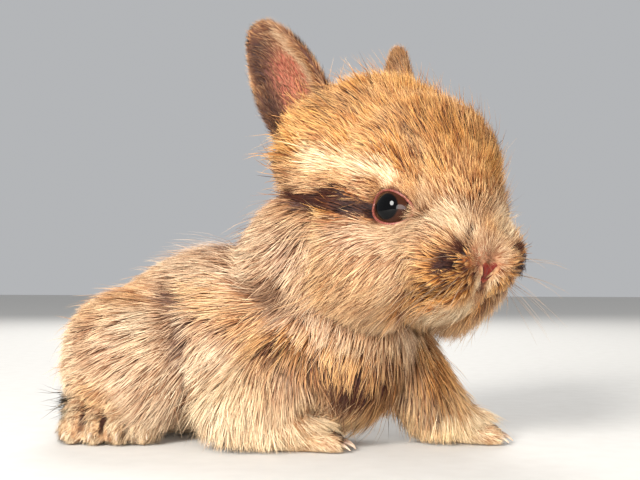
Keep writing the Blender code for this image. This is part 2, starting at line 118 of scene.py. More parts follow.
# %% Set the camera
CAMERA_AZIMUTH = math.radians(25.0)
CAMERA_PITCH = math.radians(2.69)
CAMERA_HEIGHT = 36.0
CAMERA_SIDESTEP = 9.3
CAMERA_DISTANCE = 247.6
CAMERA_LENS = 57.5
CAMERA_SENSOR = 36.0
CAMERA_NEAREST = 0.01
UP = Vector((0, 0, 1))


def placed(name, data):
    """An object that carries this data, put in the scene."""
    obj = bpy.data.objects.new(name, data)
    bpy.context.scene.collection.objects.link(obj)
    return obj


across = Vector((math.cos(CAMERA_AZIMUTH), math.sin(CAMERA_AZIMUTH), 0))
ahead = Vector((-math.sin(CAMERA_AZIMUTH), math.cos(CAMERA_AZIMUTH), 0))
camera = placed("camera", bpy.data.cameras.new("camera"))
bpy.context.scene.camera = camera
spot = across * CAMERA_SIDESTEP - ahead * CAMERA_DISTANCE + UP * CAMERA_HEIGHT
camera.location = spot * MM + SHIFT
gaze = ahead * math.cos(CAMERA_PITCH) + UP * math.sin(CAMERA_PITCH)
camera.rotation_euler = gaze.to_track_quat("-Z", "Y").to_euler()
camera.data.sensor_width = CAMERA_SENSOR
camera.data.lens = CAMERA_LENS
camera.data.clip_start = CAMERA_NEAREST
print("camera at", [round(c, 3) for c in camera.location])

# %% [markdown]
# Soft daylight suits a coat: a pale sky all round, one broad light from above and a little to the
# left of the camera, and a lower one from its right, so that the fur below the cheek isn't lost in
# the dark. A third from behind draws a bright edge along the back. Broad lights give fur a soft edge
# between light and shade, where a small one would make every tuft glitter.

# %% Set the lights
SKY_COLOUR = (0.95, 0.97, 1.0, 1.0)
SKY_STRENGTH = 0.48
# Each light's place and size in metres, its watts and its colour
LIGHTS = {
    "key": ((-0.06, -0.72, 0.4), 0.3, 10.4, (1.0, 0.98, 0.94)),
    "fill": ((0.52, -0.6, 0.07), 0.5, 7.2, (1.0, 0.98, 0.95)),
    "rim": ((-0.35, 0.6, 0.6), 0.5, 4.5, (1.0, 0.99, 0.97)),
}
LIT_PLACE = Vector((0, 0, 0.045))

bpy.context.scene.view_settings.view_transform = "Standard"
world = bpy.data.worlds.new("sky")
bpy.context.scene.world = world
world.use_nodes = True
sky = world.node_tree.nodes["Background"].inputs
sky["Color"].default_value = SKY_COLOUR
sky["Strength"].default_value = SKY_STRENGTH
for name, (place, size, watts, colour) in LIGHTS.items():
    light = placed(name, bpy.data.lights.new(name, "AREA"))
    light.data.shape = "DISK"
    light.data.size = size
    light.data.energy = watts
    light.data.color = colour
    light.location = place
    light.rotation_euler = (LIT_PLACE - light.location).to_track_quat("-Z", "Y").to_euler()
    print("the", name, "light is", round((LIT_PLACE - light.location).length, 2), "m away")

# %% [markdown]
# A material here is a recipe of shader nodes. Written node by node such a recipe is hard to read,
# so two small classes let it be written as sums: a Wire is one node's output and understands + - *,
# and a Finish makes any node from its type, its settings and the values or wires of its sockets.


# %% Write shader sums as ordinary sums
class Wire:
    """An output of a node, which can stand in a sum in place of a number."""

    def __init__(self, home, socket):
        self.home = home
        self.socket = socket

    def sum(self, operation, first, second):
        """The outcome of an operation on two numbers, either of which may be an output."""
        return self.home.node("ShaderNodeMath", {"operation": operation}, {0: first, 1: second})

    def __add__(self, other):
        return self.sum("ADD", self, other)

    def __sub__(self, other):
        return self.sum("SUBTRACT", self, other)

    def __rsub__(self, other):
        return self.sum("SUBTRACT", other, self)

    def __mul__(self, other):
        return self.sum("MULTIPLY", self, other)

    __radd__ = __add__
    __rmul__ = __mul__

    def between(self, low, high, start=0.0, end=1.0):
        """Goes smoothly from start to end as this goes from low to high."""
        ends = {"From Min": low, "From Max": high, "To Min": start, "To Max": end}
        settings = {"interpolation_type": "SMOOTHSTEP"}
        return self.home.node("ShaderNodeMapRange", settings, {"Value": self, **ends})


class Finish:
    """A material, and the methods that add nodes to it."""

    def __init__(self, name):
        self.material = bpy.data.materials.new(name)
        self.material.use_nodes = True
        self.tree = self.material.node_tree
        self.shader = self.tree.nodes["Principled BSDF"]

    def node(self, kind, settings=None, values=None, out=0):
        """A node of that kind with its settings and inputs; returns one of its outputs."""
        made = self.tree.nodes.new(kind)
        for key, value in (settings or {}).items():
            setattr(made, key, value)
        for key, value in (values or {}).items():
            self.feed(made.inputs[key], value)
        return Wire(self, made.outputs[out])

    def feed(self, socket, value):
        """Links an output to a socket, or sets the socket to a plain value."""
        if isinstance(value, Wire):
            self.tree.links.new(value.socket, socket)
        else:
            socket.default_value = value

    def colour(self, red, green, blue):
        """A colour as a screen shows it, turned into amounts of light."""
        parts = [c / 255 for c in (red, green, blue)]
        return (*[c / 12.92 if c <= 0.04045 else ((c + 0.055) / 1.055) ** 2.4 for c in parts], 1.0)

    def mix(self, share, first, second, blend="MIX"):
        """The first colour, and the more of the second the more share is."""
        settings = {"data_type": "RGBA", "blend_type": blend}
        return self.node("ShaderNodeMix", settings, {0: share, 6: first, 7: second}, out=2)

    def attribute(self, name, out=0):
        """A named attribute of the mesh: by its output a colour, a direction, an amount or an alpha."""
        return self.node("ShaderNodeAttribute", {"attribute_name": name}, None, out)

    def part(self, name, part):
        """The first, second or third part of an attribute's colour."""
        return self.node("ShaderNodeSeparateColor", None, {0: self.attribute(name)}, out=part)

    def place(self):
        """Object coordinates, in metres."""
        return self.node("ShaderNodeTexCoord", None, None, out=3)

    def cloud(self, scale, detail=2.0):
        """Smooth noise from 0 to 1, with that many waves to a metre."""
        values = {"Vector": self.place(), "Scale": scale, "Detail": detail}
        return self.node("ShaderNodeTexNoise", None, values)

    def bump(self, height, strength, distance):
        """The surface's direction as if it rose with height, by that distance in metres."""
        values = {"Strength": strength, "Distance": distance, "Height": height}
        return self.node("ShaderNodeBump", None, values)

    def set(self, **values):
        """Sets the shader's own sockets; an underscore stands for a space."""
        for key, value in values.items():
            self.feed(self.shader.inputs[key.replace("_", " ")], value)
        return self.material


# %% [markdown]
# The floor only has to be pale and plain, with the least unevenness so that it looks like a board
# and not like nothing. It belongs to the stage and not to the rabbit.

# %% Lay the floor
FLOOR_HALF = 4.0
FLOOR_CORNERS = ((-1, -1), (1, -1), (1, 1), (-1, 1))
floor_mesh = bpy.data.meshes.new("floor")
floor_mesh.from_pydata([(x * FLOOR_HALF, y * FLOOR_HALF, 0) for x, y in FLOOR_CORNERS], [], [(0, 1, 2, 3)])
floor = placed("floor", floor_mesh)
board = Finish("pale_board")
grain = board.cloud(180.0, 4.0)
tint = board.mix(grain, board.colour(206, 203, 198), board.colour(218, 216, 212))
floor_mesh.materials.append(board.set(Base_Color=tint, Roughness=0.85))
floor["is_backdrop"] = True
print("the floor is", 2 * FLOOR_HALF, "m wide")

# %% [markdown]
# Under the coat is one skin. A real body has no seams, and a sculptor would block it out as balls
# and bones and then rub them together. The same is done here: ellipsoids and tapered bones, named
# by the part of the body they make, are put in one mesh, and a voxel remesh melts them into one
# closed surface that a Smooth modifier rubs down.

# %% List the forms of the body
def pair(centre, radii):
    """A form and its mirror image on the other side."""
    x, y, z = centre
    return (centre, radii), ((x, -y, z), radii)


# Ellipsoids by their centre and radii, those of the head in the head's frame
FORMS = {
    "trunk": (
        ((-12, 0, 24), (33, 20, 20.5)),
        ((-32, 0, 20), (18, 19, 18)),
        ((15, -2, 24), (17, 16.5, 18)),
        ((13, -0.5, 43), (17, 18, 16)),
        *pair((-31, -16, 18.5), (17, 12, 16)),
    ),
    "head": (
        ((-9, 0, 3), (20, 20, 21.5)),
        ((6, 0, 0.5), (17.5, 17, 17)),
        ((14, 0, -6), (13, 9.5, 11)),
        ((19, 0, -15), (12, 10, 9.5)),
        *pair((6, 10, -8), (14, 10, 12)),
        *pair((3, 10.5, -15), (16, 10.5, 12)),
        *pair((22, 5.5, -15.8), (8, 6.4, 6.8)),
        ((15, 0, -21), (11, 7.5, 6)),
        *pair((11.5, 9.5, -5), (11, 7.6, 9.5)),
    ),
    "tail": (((-48.5, 1, 17.5), (6.5, 6, 8)), ((-44.5, 1, 15.5), (6, 6, 6.5))),
}
# Bones of a limb, each with a radius at either end
BONES = {
    "foreleg_right": (
        ((12, -13, 22), 8.0, (0, -19, 9.5), 7.0),
        ((0, -19, 9.5), 7.0, (8, -17.5, 5), 5.0),
        ((8, -17.5, 5), 5.0, (15, -14, 3.4), 4.2),
    ),
    "foreleg_left": (
        ((24, 7, 24), 8.0, (31, 8, 15), 6.5),
        ((31, 8, 15), 6.5, (37, 9.8, 6), 5.2),
        ((37, 9.8, 6), 5.2, (43, 12, 3.6), 4.4),
    ),
    "hind_foot_right": (((-39, -8, 5), 4.5, (-34, -19.5, 7.8), 6.4),),
    "hind_foot_left": (((-36, 12, 5), 4.5, (-22, 23, 5.2), 6.0),),
}
print("the body has", sum(len(forms) for forms in FORMS.values()), "balls and", len(BONES), "limbs")

# %% Fan out the toes
# Toes fan out from a place, with a heading in degrees, a reach, a spread and a radius
TOES = {
    "foreleg_right": ((14.5, -14.2, 3.0), 25.0, 6.0, 7.2, 2.3),
    "foreleg_left": ((42.5, 11.8, 3.0), 22.0, 6.4, 7.8, 2.4),
    "hind_foot_right": ((-34.6, -19.5, 8.4), -66.0, 7.8, 16.5, 3.4),
    "hind_foot_left": ((-22.5, 22.6, 6.2), 38.0, 7.4, 15.5, 3.0),
}
TOE_COUNT = 4
TOE_ROOT_SPREAD = 0.75
OUTER_TOE_SHORTER = 0.9
TOE_HEIGHT = 0.92


def toe_heading(name):
    """The way the toes of a foot point, level with the floor."""
    heading = math.radians(TOES[name][1])
    return math.cos(heading), math.sin(heading), 0.0


def toe_bones(name):
    """The four toes of a foot as bones, from the spread of the foot to each tip."""
    root, _, reach, spread, radius = TOES[name]
    forward = Vector(toe_heading(name))
    sideways = Vector((-forward.y, forward.x, 0))
    for i in range(TOE_COUNT):
        side = i / (TOE_COUNT - 1) - 0.5
        start = Vector(root) + sideways * spread * TOE_ROOT_SPREAD * side
        shorter = 1 - OUTER_TOE_SHORTER * side * side
        end = Vector(root) + sideways * spread * side + forward * reach * shorter
        end.z = radius * TOE_HEIGHT
        yield start, radius, end, radius


def toe_gaps(name):
    """The lines between the toes of a foot, over their backs and down in front."""
    radius = TOES[name][4]
    forward = Vector(toe_heading(name))
    ends = [(start, end) for start, _, end, _ in toe_bones(name)]
    for (start, end), (next_start, next_end) in zip(ends, ends[1:]):
        high, low = (start + next_start) / 2, (end + next_end) / 2
        back = high + UP * radius * 0.8
        brow = low + (forward + UP) * radius * 0.6
        front = low + (forward - UP * 0.6) * radius * 0.9
        yield [tuple(p) for p in (back, brow, front)]


# %% Melt forms into one surface
# Each part's edge of the voxels in millimetres and its rounds of smoothing
MELT = {"trunk": (1.2, 20), "head": (0.9, 17), "tail": (0.8, 3), "limb": (0.6, 4), "skin": (0.7, 3)}
BONE_LINKS = 9


def ball(bm, centre, radii, turned=False, detail=3):
    """An ellipsoid; a turned one is given in the head's frame."""
    frame_of = Matrix.Translation(HEAD_PLACE) @ head_turn.to_4x4() if turned else Matrix()
    place = frame_of @ Matrix.Translation(Vector(centre)) @ Matrix.Diagonal((*radii, 1.0))
    bmesh.ops.create_icosphere(bm, subdivisions=detail, radius=1.0, matrix=place)


def bone(bm, start, start_radius, end, end_radius):
    """A tapered limb as a run of balls."""
    for i in range(BONE_LINKS):
        t = i / (BONE_LINKS - 1)
        radius = start_radius + (end_radius - start_radius) * t
        ball(bm, Vector(start).lerp(Vector(end), t), (radius,) * 3, detail=2)


def mesh_from(bm, name):
    """What is in bm as a mesh; bm is done with."""
    mesh = bpy.data.meshes.new(name)
    bm.to_mesh(mesh)
    bm.free()
    return mesh


def plain_mesh(obj):
    """The mesh of an object with its modifiers worked out."""
    bpy.context.view_layer.update()
    graph = bpy.context.evaluated_depsgraph_get()
    return bpy.data.meshes.new_from_object(obj.evaluated_get(graph))


def melted(name, bm, voxel, rounds):
    """What is in bm as one closed mesh, remeshed at that voxel and smoothed so often."""
    obj = placed(name, mesh_from(bm, name))
    remesh = obj.modifiers.new("melt", "REMESH")
    remesh.mode = "VOXEL"
    remesh.voxel_size = voxel
    rub = obj.modifiers.new("rub", "SMOOTH")
    rub.factor = 0.5
    rub.iterations = rounds
    whole = plain_mesh(obj)
    bpy.data.objects.remove(obj)
    return whole


regions = {}
for part, forms in FORMS.items():
    part_bm = bmesh.new()
    for centre, radii in forms:
        ball(part_bm, centre, radii, turned=part == "head")
    regions[part] = melted(part, part_bm, *MELT[part])
for limb in BONES:
    limb_bm = bmesh.new()
    for piece in [*BONES[limb], *toe_bones(limb)]:
        bone(limb_bm, *piece)
    regions[limb] = melted(limb, limb_bm, *MELT["limb"])
print({name: len(mesh.vertices) for name, mesh in regions.items()})

# %% [markdown]
# A rabbit's ear is a leaf rolled into a cup. Drawn flat it is a grid; each point of the grid is then
# moved to the outline of the leaf, wider in the middle, and pushed back the more it is in the
# middle and the nearer it is to the root. Solidify gives the leaf its wall.

# %% Bend the ears
# Each ear's root, its tip and the way its cup opens, in the head's frame
EARS = {
    "ear_right": (Vector((-17.5, -15, 16.5)), Vector((-23.6, -24.2, 41.5)), Vector((0.55, -0.83, 0.0))),
    "ear_left": (Vector((-18, 14, 16.5)), Vector((-28, 18, 41)), Vector((0.22, 0.97, 0.0))),
}
EAR_SINK = 5.0
EAR_HALF_WIDTH = 8.8
EAR_CUP = 5.5
EAR_ARCH = 1.2
EAR_FORWARD = 2.0
EAR_WALL = 1.5


def ear_axes(name):
    """The root, the way to the tip, the way the cup opens, the way across, and the length."""
    base, tip, opening = EARS[name]
    axis = (tip - base).normalized()
    root = base - axis * EAR_SINK
    facing = (opening - axis * opening.dot(axis)).normalized()
    return root, axis, facing, axis.cross(facing), (tip - root).length


def ear_half_width(along):
    """Half the width of an ear's outline: narrow at the root, widest in the middle, a soft point."""
    return EAR_HALF_WIDTH * np.sin(math.pi * (0.17 + 0.79 * along)) ** 0.55


def ear_leaf(name):
    """One ear, bent from a flat grid."""
    root, axis, facing, side, length = ear_axes(name)
    bm = bmesh.new()
    bmesh.ops.create_grid(bm, x_segments=16, y_segments=28, size=1.0)
    for vertex in bm.verts:
        q, s = vertex.co.x, (vertex.co.y + 1) / 2
        width = float(ear_half_width(s))
        cup = EAR_CUP * (1 - 0.85 * s) * (1 - q * q) + EAR_ARCH * math.sin(math.pi * s)
        along = length * (s - 0.05 * q * q * s)
        place = root + axis * along + side * width * q - facing * (cup - EAR_FORWARD)
        vertex.co = Vector(from_head(place))
    obj = placed(name, mesh_from(bm, name))
    wall = obj.modifiers.new("wall", "SOLIDIFY")
    wall.thickness = EAR_WALL
    wall.offset = 0.0
    leaf = plain_mesh(obj)
    bpy.data.objects.remove(obj)
    return leaf


for ear in EARS:
    regions[ear] = ear_leaf(ear)
    print(ear, "is", round(ear_axes(ear)[4], 1), "mm long with", len(regions[ear].vertices), "points")

# %% Join the parts into the skin
skin_bm = bmesh.new()
for mesh in regions.values():
    skin_bm.from_mesh(mesh)
skin_mesh = melted("skin", skin_bm, *MELT["skin"])
skin_count = len(skin_mesh.vertices)
skin_points = np.empty(skin_count * 3)
skin_mesh.vertices.foreach_get("co", skin_points)
skin_points = skin_points.reshape(-1, 3)
skin_points[:, 2] = np.maximum(skin_points[:, 2], 0.0)
print("the skin has", skin_count, "points")

# %% [markdown]
# The eyes are set into the skin like marbles into clay: skin that would lie in front of the marble
# is pushed behind its surface, and skin around it is drawn up over its edge, which leaves the almond
# opening of the lids. The lips, the split below the nose and the gaps between the toes are pressed
# in as grooves.

# %% Measure along paths and from the gaze
LID_ACROSS = math.radians(66.0)
LID_TALL = math.radians(41.0)
LID_CORNER = 0.06


def smooth(low, high, value):
    """From 0 to 1 as value goes from low to high, level at both ends."""
    t = np.clip((value - low) / (high - low), 0.0, 1.0)
    return t * t * (3 - 2 * t)


def away_from_path(points, path):
    """How far points are from a line of straight stretches."""
    best = np.full(len(points), 1e9)
    for start, end in zip(path, path[1:]):
        a, b = np.array(start, float), np.array(end, float)
        t = np.clip((points - a) @ (b - a) / ((b - a) @ (b - a)), 0, 1)
        best = np.minimum(best, np.linalg.norm(points - a - t[:, None] * (b - a), axis=1))
    return best


def groove_at(points, path, breadth):
    """1 in the middle of a groove along a path, fading out over about its breadth."""
    return np.exp(-((away_from_path(points, path) / breadth) ** 2))


def folded(points):
    """Points with the two sides folded together, for what is the same on both."""
    return points * (1, 0, 1) + np.abs(points * (0, 1, 0))


def unit(vectors):
    """Vectors at a length of 1."""
    return vectors / np.maximum(np.linalg.norm(vectors, axis=-1, keepdims=True), 1e-9)


def eye_axes(side):
    """The way an eye looks, the way to its front corner and the way up, in the body's frame."""
    look = head_way((EYE_AXIS.x, EYE_AXIS.y * side, EYE_AXIS.z))
    front = head_way((1.0, 0.0, -0.22))
    front = unit(front - look * (front @ look))
    above = np.cross(look, front)
    return look, front, above if above[2] > 0 else -above


def lid_angle(across_eye, up_eye):
    """How far from the gaze the lids' edge is, in the direction given by its two parts."""
    turn = np.arctan2(up_eye, across_eye)
    corner = 1 + LID_CORNER * np.abs(np.cos(turn)) ** 12
    return corner / np.sqrt((np.cos(turn) / LID_ACROSS) ** 2 + (np.sin(turn) / LID_TALL) ** 2)


# %% Press in the eye openings
LID_REACH = math.radians(62.0)
SOCKET_REACH = EYE_RADIUS * 2.2
BEHIND_EYE = EYE_RADIUS - 0.8
OVER_EYE = EYE_RADIUS + 0.35

for side in (-1, 1):
    middle = np.array(eye_middle(side))
    look, front, above = eye_axes(side)
    rays = skin_points - middle
    reach = np.linalg.norm(rays, axis=1)
    angle = np.arccos(np.clip(unit(rays) @ look, -1, 1))
    edge = lid_angle(rays @ front, rays @ above)
    near = (reach < SOCKET_REACH) & (angle < edge + LID_REACH)
    inside = near & (angle < edge)
    drawn = 1 - smooth(0.0, LID_REACH, angle - edge)
    wanted = np.where(inside, BEHIND_EYE, OVER_EYE)
    share = np.where(near, np.where(inside, 1.0, drawn), 0.0)
    skin_points = middle + unit(rays) * (reach + (wanted - reach) * share)[:, None]
    print("an eye opening of", inside.sum(), "points, with", near.sum() - inside.sum(), "drawn round it")

# %% Press in the nose, the mouth and the gaps between the toes
# Each groove of the face: its path in the head's frame, its depth and its breadth
FACE_GROOVES = (
    (((30, 0, -17.4), (29, 0, -20.0)), 1.3, 2.3),
    (((29, 0, -20.5), (27.8, 0, -23.0)), 0.7, 0.8),
    (((27.5, 0, -23.0), (26.2, 3.0, -24.0), (24.0, 5.4, -24.2)), 0.4, 0.8),
)
TOE_GROOVE_DEPTH = 0.2
TOE_GROOVE_BREADTH = 0.9

face = folded(to_head(skin_points))
for path, depth, breadth in FACE_GROOVES:
    groove = groove_at(face, path, breadth)
    skin_points = skin_points - head_way(np.outer(groove * depth, (1, 0, 0)))
for name in TOES:
    for path in toe_gaps(name):
        groove = groove_at(skin_points, path, TOE_GROOVE_BREADTH)
        towards_foot = skin_points - np.array(TOES[name][0])
        skin_points = skin_points - towards_foot * (TOE_GROOVE_DEPTH * groove)[:, None]
skin_mesh.vertices.foreach_set("co", skin_points.ravel())
skin_mesh.update()
skin_normals = np.empty(skin_count * 3)
skin_mesh.vertices.foreach_get("normal", skin_normals)
skin_normals = skin_normals.reshape(-1, 3)
print("the skin reaches from", skin_points.min(axis=0).round(1), "to", skin_points.max(axis=0).round(1))

# %% [markdown]
# The coat needs to know, at any place, which part of the body it grows on, because an ear has down
# and a flank has long hair. Each part's own surface is asked how near it is, and the answers become
# shares that add up to 1, so that one kind of hair gives way to the next without an edge.

# %% Share every place among the parts of the body
# In millimetres: what lies outside a part's box by more than its reach counts as too far
SOFTNESS = 1.6
PART_REACH = 6
TOO_FAR = 30.0
part_names = list(regions)


def tree_of(mesh):
    """A mesh's faces, ready to be asked which place on them is nearest."""
    bm = bmesh.new()
    bm.from_mesh(mesh)
    tree = BVHTree.FromBMesh(bm)
    bm.free()
    return tree


part_trees = {name: tree_of(mesh) for name, mesh in regions.items()}
away = np.full((skin_count, len(part_names)), TOO_FAR)
for k, name in enumerate(part_names):
    low = np.array([min(v.co[i] for v in regions[name].vertices) for i in range(3)]) - PART_REACH
    high = np.array([max(v.co[i] for v in regions[name].vertices) for i in range(3)]) + PART_REACH
    for i in np.flatnonzero(((skin_points > low) & (skin_points < high)).all(axis=1)):
        away[i, k] = part_trees[name].find_nearest(skin_points[i])[3]
shares = np.exp(-away / SOFTNESS)
shares /= shares.sum(axis=1, keepdims=True)
print("shares:", {name: round(float(shares[:, k].mean()), 3) for k, name in enumerate(part_names)})

# %% [markdown]
# A coat is never one colour. A golden kit has ginger on the crown, cream arcs over the eyes, a
# chestnut stripe behind each eye, beige flanks and damp amber fur round the mouth. Five maps say how
# much of each there is at a place: warmth, darkness, paleness, dampness and the blush of bare skin.
# The darkness map also holds painted shade under the cheek, on the chest, in the crease before the
# haunch and between the toes. The paleness map holds a little painted light on the far forepaw.
# They are sums of soft spots and strokes in the head's or the body's own frame, the same on both
# sides. The skin and every tuft that grows from it ask the same maps, so they always agree.


# %% Draw soft spots and strokes
WAVES = 7
WAVE_SUM = 3.2


def waves(points, size, seed):
    """Smooth unevenness between -1 and 1, of about that size in millimetres."""
    wave_rng = np.random.default_rng(seed)
    total = np.zeros(len(points))
    for _ in range(WAVES):
        way = wave_rng.normal(size=3)
        way /= np.linalg.norm(way)
        turns = 2 * math.pi / (size * wave_rng.uniform(0.7, 1.6))
        total += np.sin(points @ way * turns + wave_rng.uniform(0, 6.3))
    return np.clip(total / WAVE_SUM, -1, 1)


def shape_at(points, place, size):
    """1 at the centre of a soft spot or along a stroke, falling to 0 past its size."""
    if isinstance(place[0], tuple):
        return 1 - smooth(0.4, 1.2, away_from_path(points, place) / size)
    gone = np.linalg.norm((points - np.array(place, float)) / np.array(size, float), axis=1)
    return 1 - smooth(0.45, 1.15, gone)


def ear_place(points, name):
    """Where points are on an ear: across from -1 to 1, along from 0 to 1, and how far in front."""
    root, axis, facing, side, length = ear_axes(name)
    head = to_head(points) - np.array(root)
    along = head @ np.array(axis) / length
    width = ear_half_width(np.clip(along, 0, 1))
    return head @ np.array(side) / width, along, head @ np.array(facing)


# %% List the markings and the painted shade
# Each mark is a map, how much it adds, a place or a path, and its radii or half its breadth
STRIPE = ((13.5, 16.0, -5.8), (9.5, 17.2, -5.3), (4, 18.2, -4.4))
STRIPE_END = ((5, 18.2, -4.0), (-3, 18.8, -3.0), (-7, 19.3, -2.0))
BROW = ((15.6, 14.7, 0.9), (11, 15.8, 2.6), (5, 16.8, 3.9), (-3, 18.3, 5.8))
UNDER_EYE = ((19, 12.8, -9.2), (14, 15.4, -10.4), (8, 17.5, -9.0))
PAD_LINE = ((29.6, 5.5, -14.3), (29.2, 4.4, -12.0), (28.4, 2.4, -9.0))
LIP_LINE = ((30.2, 2.2, -15.6), (29.4, 1.7, -18.4), (28.2, 1.4, -21.0), (26.5, 1.8, -23.8))
FACE_MARKS = (
    ("dark", 1.4, STRIPE, 1.9),
    ("dark", 1.3, STRIPE_END, 2.9),
    ("warm", 0.6, STRIPE_END, 3.4),
    ("warm", 0.7, STRIPE, 3.0),
    ("dark", 0.35, (-15, 19, 0), (8, 6, 6)),
    ("dark", 0.3, (18, 6, 8), (11, 10, 11)),
    ("dark", 0.28, (0, 11, 17), (13, 9, 8)),
    ("dark", 0.12, (4, 17, -12), (13, 8, 8)),
    ("dark", 0.45, PAD_LINE, 0.6),
    ("dark", 1.1, (28.0, 8.2, -16.9), (2.0, 2.0, 2.1)),
    ("dark", 1.0, (29.2, 6.4, -14.6), (1.4, 1.5, 1.3)),
    ("dark", 0.4, (29.0, 6.4, -18.2), (2.4, 1.6, 1.0)),
    ("dark", 0.42, (24.6, 9.0, -20.9), (3.0, 2.0, 1.3)),
    ("dark", 0.34, (20.5, 8.6, -23.6), (3.0, 2.0, 1.4)),
    ("dark", 0.26, (-16, 18, -6), (8, 9, 8)),
    ("pale", 0.95, BROW, 2.2),
    ("pale", 0.45, UNDER_EYE, 2.6),
    ("pale", 0.55, (26.5, 5.0, -9.5), (6, 5.5, 5)),
    ("dark", 0.12, (26.5, 4.0, -8.5), (6, 7, 6)),
    ("pale", 0.5, (29, 3, -14.5), (5, 6, 4)),
    ("pale", 1.4, LIP_LINE, 1.2),
    ("pale", 0.9, (21, 1, -27), (9, 8, 4.5)),
    ("damp", 1.1, (27.5, 7.0, -19.5), (5.5, 5.5, 6.0)),
    ("damp", 1.0, (20, 8.5, -24.5), (8, 6, 6)),
    ("damp", 0.8, (25, 4.6, -23.6), (6, 4, 4)),
    ("warm", 0.4, (25, 7, -20), (9, 8, 8)),
    ("warm", 0.35, (29, 2, -13), (6, 8, 6)),
    ("blush", 0.5, (30, 3.0, -15.5), (4, 4, 4.5)),
    ("blush", 0.3, UNDER_EYE, 3.0),
)
BODY_MARKS_AND_PAINTED_SHADE = (
    ("warm", 0.42, ((-6, 16.4, 35), (5, 15.9, 30), (16, 18, 26), (27, 13, 22)), 5.0),
    ("warm", 0.35, (25, 14, 18), (15, 13, 14)),
    ("warm", 0.45, (34, 5, 14), (12, 8, 16)),
    ("warm", 0.40, (-30, 26, 12), (10, 9, 6)),
    ("warm", 0.30, (-31, 14, 33), (14, 14, 9)),
    # Painted shade along the front of the flank, above the tops of the forelegs
    ("dark", 0.45, ((13, 20, 25), (19, 17, 20), (26, 12, 17)), 4.5),
    # Painted shade on the chest between the forelegs
    ("dark", 0.36, (33, 3, 18), (10, 9, 11)),
    # Painted shade in the crease between the haunch and the flank
    ("dark", 0.5, ((-16, 15, 38), (-13, 20, 30), (-11.5, 21.5, 23), (-10.5, 19, 15)), 2.6),
    ("dark", 0.22, (-8, 6, 46), (22, 12, 8)),
    # Painted shadow of the cheek ruff on the shoulder
    ("dark", 0.45, (11, 16, 38), (8, 8, 6)),
    # Painted shade on the chest
    ("dark", 0.28, (27, 12, 22), (8, 8, 9)),
    # The far forepaw is cream, and paler here as painted light on it
    ("pale", 0.45, (41, 7, 6), (7, 7, 6)),
    ("pale", 0.30, (-20, 24, 27), (6, 6, 8)),
    ("dark", 0.20, (-12, 18, 30), (8, 8, 8)),
    ("dark", 0.28, (2, 8, 54), (8, 10, 9)),
    ("pale", 0.40, (-43, 24, 21), (9, 10, 11)),
    ("pale", 0.45, (-4, 20, 18), (14, 9, 9)),
    ("pale", 0.25, (2, 13, 41), (9, 9, 8)),
    ("pale", 0.70, (-53, 1, 17), (9, 9, 10)),
)
print(len(FACE_MARKS), "marks on the face and", len(BODY_MARKS_AND_PAINTED_SHADE), "on the body")

# %% Map the markings and the painted shade
# Which edge of an ear leads, by the sign of the way across
EAR_LEAD = {"ear_right": 1.0, "ear_left": -1.0}
TOE_SHADE = 1.5


def ear_inside(points, normals, name):
    """1 where the inner side of an ear shows, 0 on its back."""
    return smooth(-0.1, 0.35, normals @ head_way(ear_axes(name)[2]))


def markings_and_painted_shade(points, normals, share):
    """Warmth, darkness, paleness, dampness and blush at places on the skin, from 0 to 1, painted shade and
    light included.
    """
    face, flat = folded(to_head(points)), folded(points)
    f, _, u = face.T
    z = points[:, 2]
    on_head = share["head"] + share["ear_right"] + share["ear_left"]
    body = 1 - on_head
    feet = sum(share[name] for name in TOES)
    patchy, fine = waves(points, 9.0, 3), waves(points, 3.2, 4)
    maps = {
        "warm": 0.30 * on_head + 0.08 * body + 0.14 * patchy + 0.3 * feet,
        "dark": 0.10 + (0.04 * fine + 0.06 * patchy) * (1 - 0.6 * on_head),
        "pale": 0.04 + 0.12 * waves(points, 6.0, 5) + (0.35 * body + 0.4 * feet) * smooth(24, 7, z),
        "damp": 0,
        "blush": 0,
    }
    maps["warm"] = maps["warm"] + 0.55 * smooth(-2, 6, u + 0.25 * f) * share["head"]
    maps["warm"] += 0.22 * smooth(14, 4, f) * smooth(0, -8, u) * smooth(-24, -14, u) * on_head
    for name, amount, place, size in FACE_MARKS:
        maps[name] = maps[name] + amount * shape_at(face, place, size) * on_head
    for name, amount, place, size in BODY_MARKS_AND_PAINTED_SHADE:
        maps[name] = maps[name] + amount * shape_at(flat, place, size) * body
    # Painted shade in the gaps between the toes
    for name in TOES:
        for gap in toe_gaps(name):
            maps["dark"] += shape_at(points, gap, TOE_SHADE) * share[name]
    warm, dark, pale, damp, blush = maps.values()
    dark = dark * (1 + 0.2 * fine)
    damp = damp * (1 + 0.3 * fine)
    for name in EARS:
        across_ear, along, _ = ear_place(points, name)
        inner = across_ear * EAR_LEAD[name]
        inside = ear_inside(points, normals, name) * share[name]
        rim = np.clip(smooth(0.66, 0.9, np.abs(inner)) + smooth(0.8, 0.93, along), 0, 1)
        deep = smooth(-0.75, 0.1, inner) * smooth(0.85, 0.45, inner) * smooth(0.85, 0.5, along)
        blush += inside * (1 - rim) * (0.3 + 0.65 * deep)
        pale += inside * (1 - rim) * smooth(0.25, 0.55, inner) * smooth(0.2, 0.45, along) * 0.8
        warm += share[name] * (0.16 + 0.12 * rim)
        shade = 0.2 * rim * smooth(-0.5, -0.8, inner) * smooth(0.6, 0.3, along)
        dark += share[name] * (0.30 + 0.04 * (1 - inside) + shade)
        dark += inside * (1 - rim) * 0.22 * smooth(0.3, -0.5, inner)
    return np.clip(np.column_stack((warm, dark, pale, damp, blush)), 0, 1)


skin_share = {name: shares[:, k] for k, name in enumerate(part_names)}
skin_marks = markings_and_painted_shade(skin_points, skin_normals, skin_share)
print("mean marks", skin_marks.mean(axis=0).round(2))

